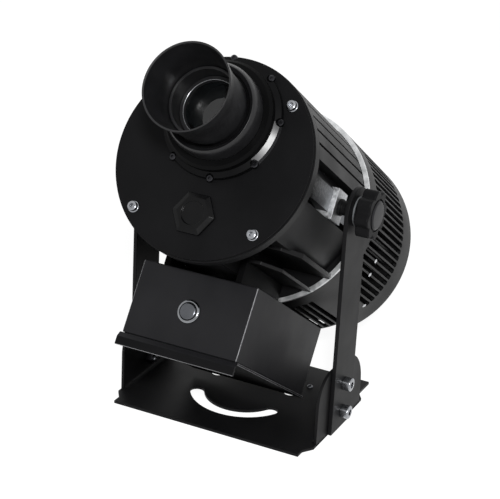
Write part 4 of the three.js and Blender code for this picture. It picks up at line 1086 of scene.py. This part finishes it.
def shroud_run(start, count, slotted):
    """A run of strips round the shroud from one angle on, each with a slot or plain."""
    strip_middle = start + strip_turn / 2
    slot_sides = (strip_middle - slot_half_turn, strip_middle + slot_half_turn)
    angles = (start, slot_sides[0], strip_middle, slot_sides[1], start + strip_turn)
    strip = wire("slotted_shroud", [on_axis("Y", at(shroud_radius, angle), low.y) for angle in angles])
    bpy.ops.mesh.select_all(action="SELECT")
    stations = [
        low.y,
        slot_front,
        slot_front + slot_corner,
        slot_back - slot_corner,
        slot_back,
        high.y - back_bevel,
        high.y,
    ]
    for last, station in zip(stations, stations[1:]):
        bpy.ops.mesh.extrude_region_move(TRANSFORM_OT_translate={"value": (0, station - last, 0)})
    shrink = (shroud_radius - back_bevel) / shroud_radius
    bpy.ops.transform.resize(value=(shrink, 1, shrink), center_override=(0, high.y, 0))

    def turn_in_strip(place):
        turn = math.degrees(math.atan2(place.z, place.x)) - strip_middle
        return (turn + 180) % 360 - 180

    def in_slot(middle):
        return slot_front < middle.y < slot_back and abs(turn_in_strip(middle)) < slot_half_turn

    if slotted:
        select_faces(strip, in_slot)
        bpy.ops.mesh.delete(type="FACE")
        bpy.ops.mesh.select_mode(type="VERT")
        to_object_mode()
        for vertex in strip.data.vertices:
            turn = turn_in_strip(vertex.co)
            at_end = min(abs(vertex.co.y - slot_front), abs(vertex.co.y - slot_back)) < 0.01 * mm
            if at_end and abs(abs(turn) - slot_half_turn) < 0.01:
                eased = math.copysign(slot_half_turn * corner_narrowing, turn)
                vertex.co.x, vertex.co.z = at(shroud_radius, strip_middle + eased)
        bpy.ops.object.mode_set(mode="EDIT")
    bpy.ops.mesh.select_all(action="SELECT")
    bpy.ops.mesh.spin(
        steps=count - 1,
        angle=math.radians((count - 1) * strip_turn),
        center=(0, 0, 0),
        axis=(0, 1, 0),
        dupli=True,
    )
    to_object_mode()
    return strip


shroud = join(
    shroud_run(-36, 63, True),
    shroud_run(216, 4, False),
    shroud_run(232, 19, True),
    shroud_run(308, 4, False),
)
bpy.ops.object.mode_set(mode="EDIT")
outward()
apply_modifier(shroud, "SOLIDIFY", thickness=shroud_wall, offset=-1, use_even_offset=True)
cable_gap = ((-110 * mm, 283 * mm, -110 * mm), (110 * mm, high.y + over, -81 * mm))
cut(shroud, block_between("cable_gap", *cable_gap))
ease_edges(shroud, 0.35 * mm, 2, 50)
hand_over(shroud, "head", body_paint, "rear_shroud", head_place)


# Shroud screws: small button screws of steel, through the bars between the slots into the fan's frame.
# They are left in their bright zinc.

# Bright zinc: a clean silver that glints against the black bars.
bright_zinc = grained("bright_zinc_plate", 1.0, 0.006, 5, ("#b9bbbe", "#d0d2d4"), (0.2, 0.3), metal=1)
shroud_screw_outline = profile(
    shroud_radius, ((0, 0.9), (1.3, 0.8), (2.2, 0.2), (2.2, -0.4), (1.2, -0.4), (1.2, -6), (0, -6))
)
shroud_screw_places = ((-36, 274 * mm), (-12, 220 * mm), (-20, 226 * mm))
for number, (angle, depth) in enumerate(shroud_screw_places, 1):
    screw = turned(f"shroud_screw_{number}", shroud_screw_outline, axis="Z", steps=28)
    radial = Matrix.Translation((0, depth, 0)) @ Matrix.Rotation(math.radians(90 - angle), 4, "Y")
    hand_over(screw, "head", bright_zinc, place=head_place @ radial, smooth=30)


# Rear cover: a round aluminium plate inside the shroud's back edge, painted like the body.
# Two rings of curved slots are cut in it as a fan guard.
low, high = node_box("rear_cover", head_place)
cover_radius = (high.x - low.x) / 2
guard_shares = (0.34, 0.56)
guard_half = 6 * mm
guard_bar_half = 3 * mm
quarters = 4
cover = turned("rear_guard", band(0, cover_radius, low.y, high.y), steps=120)
for share in guard_shares:
    inner_radius = cover_radius * share - guard_half
    outer_radius = inner_radius + 2 * guard_half
    for number in range(quarters):
        middle = 90 * (number + 0.5)
        outer_half = 45 - math.degrees(guard_bar_half / outer_radius)
        inner_half = 45 - math.degrees(guard_bar_half / inner_radius)
        guard_slot = arc((0, 0), outer_radius, middle - outer_half, middle + outer_half, 16)
        guard_slot += arc((0, 0), inner_radius, middle + inner_half, middle - inner_half, 16)
        cut(cover, extruded("guard_slot", guard_slot, "Y", low.y - over, high.y + over))
cut(cover, block_between("cable_gap", *cable_gap))
ease_edges(cover, 0.5 * mm)
hand_over(cover, "head", body_paint, "rear_cover", head_place)


# Driver box: a cover folded from steel sheet, open below, and cut out where the shroud dips into it.
# It holds the power supply and the control board, and is powder coated apart from the head.

# Box powder: a little greyer than the head, with a satin sheen.
box_paint = grained("powder_coated_box", 1.1, 0.02, 40, ("#18181a", "#1e1e20"), (0.42, 0.52), shine=0.13)
low, high = node_box("driver_cover", head_place)
box_half = high.x
box_wall = 2 * mm
box_front, box_back = low.y, high.y
saddle_radius = shroud_radius + 3 * mm
saddle_start = 151.4 * mm
button_low, button_high = node_box("button_bezel", head_place)
button_middle = (0, (button_low.z + button_high.z) / 2)
button_hole = 9.5 * mm
gland_low, gland_high = node_box("cable_gland", head_place)
gland_middle = ((gland_low.x + gland_high.x) / 2, (gland_low.z + gland_high.z) / 2)
gland_hole = 8.5 * mm
through = 5 * mm
cover = block_between("folded_box_cover", (-box_half, box_front, low.z), (box_half, box_back, high.z))
ease_edges(cover, 1.2 * mm, 4)
hollow = block_between(
    "hollow",
    (-box_half + box_wall, box_front + box_wall, low.z - through),
    (box_half - box_wall, box_back - box_wall, high.z - box_wall),
)
cut(
    cover,
    hollow,
    drill(saddle_radius, (0, 0), saddle_start, box_back + over, steps=180),
    drill(button_hole, button_middle, box_front - over, box_front + through),
    drill(gland_hole, gland_middle, box_back - through, box_back + over),
)
hand_over(cover, "head", box_paint, "driver_cover", head_place, smooth=30)


# The box's front edges get the pale painted edge highlight.
def on_box_edge(middle, normal):
    return normal.y < -0.3 and abs(normal.x) > 0.3 and middle.y < box_front + box_wall


dress_faces(cover, painted_edge_highlight, on_box_edge)


# Tray: the driver box's floor, folded from the same steel sheet, with a lip turned down in front.
# It is powder coated on the side that shows, primed below in a dull black that also paints the shade under
# the box, and screwed under the cover.
low, high = node_box("driver_tray", head_place)
tray_thick = 2 * mm
tray_lip_thick = 3 * mm
tray_outline = [
    (low.y, low.z),
    (low.y + tray_lip_thick, low.z),
    (low.y + tray_lip_thick, high.z - tray_thick),
    (high.y, high.z - tray_thick),
    (high.y, high.z),
    (low.y + 3.9 * mm, high.z),
    (low.y, high.z - 4.8 * mm),
]
tray = extruded("folded_tray", tray_outline, "X", low.x, high.x)
ease_edges(tray, 0.4 * mm)
hand_over(tray, "head", box_paint, "driver_tray", head_place)


def on_lip_face(middle, normal):
    return normal.y < -0.9


def on_tray_underside(middle, normal):
    return normal.z < -0.9 and middle.y > low.y + 5 * mm


def on_tray_side(middle, normal):
    return abs(normal.x) > 0.3 and middle.z > high.z - 2.2 * mm and middle.y > low.y + 8 * mm


def on_lip_edge(middle, normal):
    return normal.y < -0.3 and normal.z < -0.3 and middle.z < low.z + mm


# The lip's face is in the plate's fine-textured finish, darker and duller than the box. The underside takes
# the dull primer, which also paints the shade under the box, and a pale painted highlight runs along the
# tray's sides and the lip's lower edge.
dress_faces(tray, plate_paint, on_lip_face)
dress_faces(tray, primer_and_painted_shade, on_tray_underside)
dress_faces(tray, painted_edge_highlight, on_tray_side)
dress_faces(tray, painted_edge_highlight, on_lip_edge)


# Push button: a sealed switch of stainless steel, with a flat cap that travels inside a raised bezel.
# Its threaded body goes through the box's front and is held by a nut inside.

# Polished steel: nearly a mirror, its colour darkened to paint the reflection of a dark room, with a bright
# rim.
polished = grained("polished_stainless_painted_dark", 1.0, 0.002, 6, ("#77797c", "#8c8e91"), (0.12, 0.2), metal=1)
# Turned steel: the facing cut on the cap leaves rings that fan the light out, and its colour is darkened to
# paint a dark reflection too.
turned_steel_painted_dark = turning_marked(
    "turned_stainless_painted_dark", 0.03, ("#44464a", "#6c6e72"), (0.18, 0.28), metal=1, rise=button_middle[1]
)
bezel_front = button_low.y
bezel_back = bezel_front + 2.2 * mm
bezel_radius = (button_high.x - button_low.x) / 2
bezel_bore = 8.3 * mm
thread_radius = 9 * mm
bezel_outline = [
    (bezel_bore, bezel_front + 0.5 * mm),
    (bezel_bore + 0.5 * mm, bezel_front),
    (bezel_radius - 1.6 * mm, bezel_front),
    (bezel_radius - 0.5 * mm, bezel_front + 0.5 * mm),
    (bezel_radius, bezel_front + 1.4 * mm),
    (bezel_radius, bezel_back),
    (thread_radius, bezel_back),
    (thread_radius, button_high.y),
    (bezel_bore, button_high.y),
]
bezel = turned("switch_bezel", bezel_outline, button_middle)
hand_over(bezel, "head", polished, "button_bezel", head_place)
low, high = node_box("button_cap", head_place)
cap_radius = (high.x - low.x) / 2
cap_outline = [
    (0, low.y),
    (cap_radius - 1.6 * mm, low.y),
    (cap_radius - 0.5 * mm, low.y + 0.4 * mm),
    (cap_radius, low.y + 1.2 * mm),
    (cap_radius, high.y),
    (0, high.y),
]
cap = turned("switch_cap", cap_outline, button_middle)
hand_over(cap, "button", turned_steel_painted_dark, "button_cap", head_place)


# Cable gland: a moulded black nylon gland with a hexagon body and a domed nut.
# It is screwed into the box's back, and its nut squeezes a seal round the cable.
seat = box_back + fit_gap
cable_bore = 3.5 * mm
gland_body = hexagon(gland_middle, (gland_high.x - gland_low.x) / 2)
gland = extruded("nylon_gland", gland_body, "Y", seat, seat + 6 * mm)
cut(gland, drill(cable_bore, gland_middle, seat - over, seat + 9 * mm))
ease_edges(gland, 0.6 * mm)
dome_outline = [
    (cable_bore, gland_low.y),
    (8 * mm, gland_low.y),
    *profile(seat, ((8, 5.8), (9.5, 5.8), (9.5, 13), (8.2, 16.4))),
    (5.6 * mm, gland_high.y),
    (cable_bore, gland_high.y),
]
dome = turned("dome_nut", dome_outline, gland_middle, steps=64)
ease_edges(dome, 0.4 * mm)
join(gland, dome)
hand_over(gland, "head", disc_plastic, "cable_gland", head_place)


# Inner works: the emitter, its optics, the gobo drive, the fan, the heat sink and the driver keep their
# solids. They sit behind the lens, the slots and the guard, and take their real finishes, apart from the
# glass, which is painted dark.

# Gear brass: a warm, slightly dull yellow metal.
brass = grained("gear_brass", 1.0, 0.01, 8, ("#b08d4a", "#c29c55"), (0.3, 0.4), metal=1)
# Phosphor: the emitter's powdery yellow layer.
phosphor = grained("emitter_phosphor", 1.0, 0.02, 8, ("#e3c23c", "#ecd057"), (0.45, 0.6))
# Solder mask: a dull green lacquer over the board.
board_green = grained("solder_mask_green", 2.0, 0.02, 12, ("#1c5335", "#23633f"), (0.35, 0.5))
# Sawn aluminium: a plain light grey metal with a soft shine.
sawn_aluminium = grained("sawn_aluminium", 1.2, 0.03, 10, ("#9fa1a4", "#b9bbbe"), (0.35, 0.5), metal=1)
# Anodised heat sink: a dull black that hides its fins behind the slots.
sink_black = grained("anodised_heat_sink", 1.2, 0.02, 30, ("#0d0d0e", "#121213"), (0.4, 0.5), shine=0.1)
# Inner glass: opaque and nearly black, a painted shade for the dark inside of the head, on the gobo and the
# inner lenses; only a smooth face shows.
inner_glass_painted_dark = grained("inner_glass_painted_shade", 1.0, 0.002, 10, ("#0a0b0e", "#101216"), (0.1, 0.2), shine=0.2)
inner_finishes = {
    "rear_lens": inner_glass_painted_dark,
    "condenser_lens": inner_glass_painted_dark,
    "gobo_glass": inner_glass_painted_dark,
    "condenser_holder": sawn_aluminium,
    "emitter_board": sawn_aluminium,
    "emitter": phosphor,
    "gobo_mount": matt_anodised,
    "gobo_ring_gear": brass,
    "motor_pinion": brass,
    "rotation_motor": zinc_plate,
    "power_supply": zinc_plate,
    "control_board": board_green,
    "rear_heat_sink": sink_black,
    "fan_frame": disc_plastic,
    "fan_rotor": disc_plastic,
}
for node, material in inner_finishes.items():
    mesh = frame["nodes"][node].data
    mesh.materials.clear()
    mesh.materials.append(material)


# Floor and backdrop: a sweep of white paper under and behind the projector.
# It shows white to the camera, in mirrors and through glass, and keeps a soft shadow on the floor.
def show_white(tree, lit, white):
    """Mixes a lit surface with a white one, which the camera, mirrors and glass see."""
    path = add_node(tree, "ShaderNodeLightPath").outputs
    seen = path["Is Camera Ray"]
    for ray in ("Is Glossy Ray", "Is Transmission Ray"):
        seen = add_node(tree, "ShaderNodeMath", {0: seen, 1: path[ray]}, operation="MAXIMUM").outputs["Value"]
    return add_node(tree, "ShaderNodeMixShader", {0: seen, 1: lit, 2: white}).outputs["Shader"]


deselect()
bpy.ops.mesh.primitive_plane_add(size=30, location=(0, 0, -0.2 * mm))
floor = bpy.context.object
floor.name = "floor"
# White paper: matt, and as light as the picture allows, so that only the shadow marks it.
sweep_paper = bpy.data.materials.new("white_sweep")
sweep_paper.use_nodes = True
tree = sweep_paper.node_tree
tree.nodes.clear()
matt = add_node(tree, "ShaderNodeBsdfDiffuse", values={"Color": linear("#e6e6e6")})
glow = add_node(tree, "ShaderNodeEmission", values={"Color": linear("#ffffff"), "Strength": 0.88})
shade = add_node(tree, "ShaderNodeBsdfDiffuse", values={"Color": linear("#a0a0a0")})
shadowed = add_node(tree, "ShaderNodeAddShader", {0: glow.outputs["Emission"], 1: shade.outputs["BSDF"]})
seen = show_white(tree, matt.outputs["BSDF"], shadowed.outputs["Shader"])
add_node(tree, "ShaderNodeOutputMaterial", {"Surface": seen})
floor.data.materials.append(sweep_paper)

scene = bpy.context.scene
world = bpy.data.worlds.new("studio")
world.use_nodes = True
scene.world = world
tree = world.node_tree
tree.nodes.clear()
dim = add_node(tree, "ShaderNodeBackground", values={"Color": linear("#ffffff"), "Strength": 0.3})
white = add_node(tree, "ShaderNodeBackground", values={"Color": linear("#ffffff"), "Strength": 1})
seen = show_white(tree, dim.outputs["Background"], white.outputs["Background"])
add_node(tree, "ShaderNodeOutputWorld", {"Surface": seen})


# Key light: one round soft box on a stand, close to the camera and a little above it.
# It gives each edge its thin highlight, and throws the soft shadow behind the projector.
key_direction = Vector((0.404, -0.762, 0.505)).normalized()
key_distance = 2.4
deselect()
bpy.ops.object.light_add(type="AREA", location=pivot + key_direction * key_distance)
key = bpy.context.object
key.name = "key_light"
key.data.shape = "DISK"
key.data.size = 0.35
key.data.energy = 43
key.rotation_euler = key_direction.to_track_quat("Z", "Y").to_euler()


# Camera: at the photograph's place, right of the projector's front and above it, with a long lens.
# Its directions and its place were solved from the plate's circle and the edges of the box and the base.
camera_data = bpy.data.cameras.new("camera")
camera = bpy.data.objects.new("camera", camera_data)
scene.collection.objects.link(camera)
camera_right = Vector((0.8924, 0.4486, 0.0490))
camera_back = Vector((0.3959, -0.8305, 0.3918)).normalized()
camera_right = (camera_right - camera_right.dot(camera_back) * camera_back).normalized()
camera_up = camera_back.cross(camera_right)
camera_place = pivot + Vector((0.6316, -1.3167, 0.5575))
camera_turn = Matrix((camera_right, camera_up, camera_back)).transposed().to_4x4()
camera.matrix_world = Matrix.Translation(camera_place) @ camera_turn
camera_data.sensor_width = 36
camera_data.lens = 118.8
camera_data.clip_end = 100
scene.camera = camera
scene.view_settings.view_transform = "Standard"
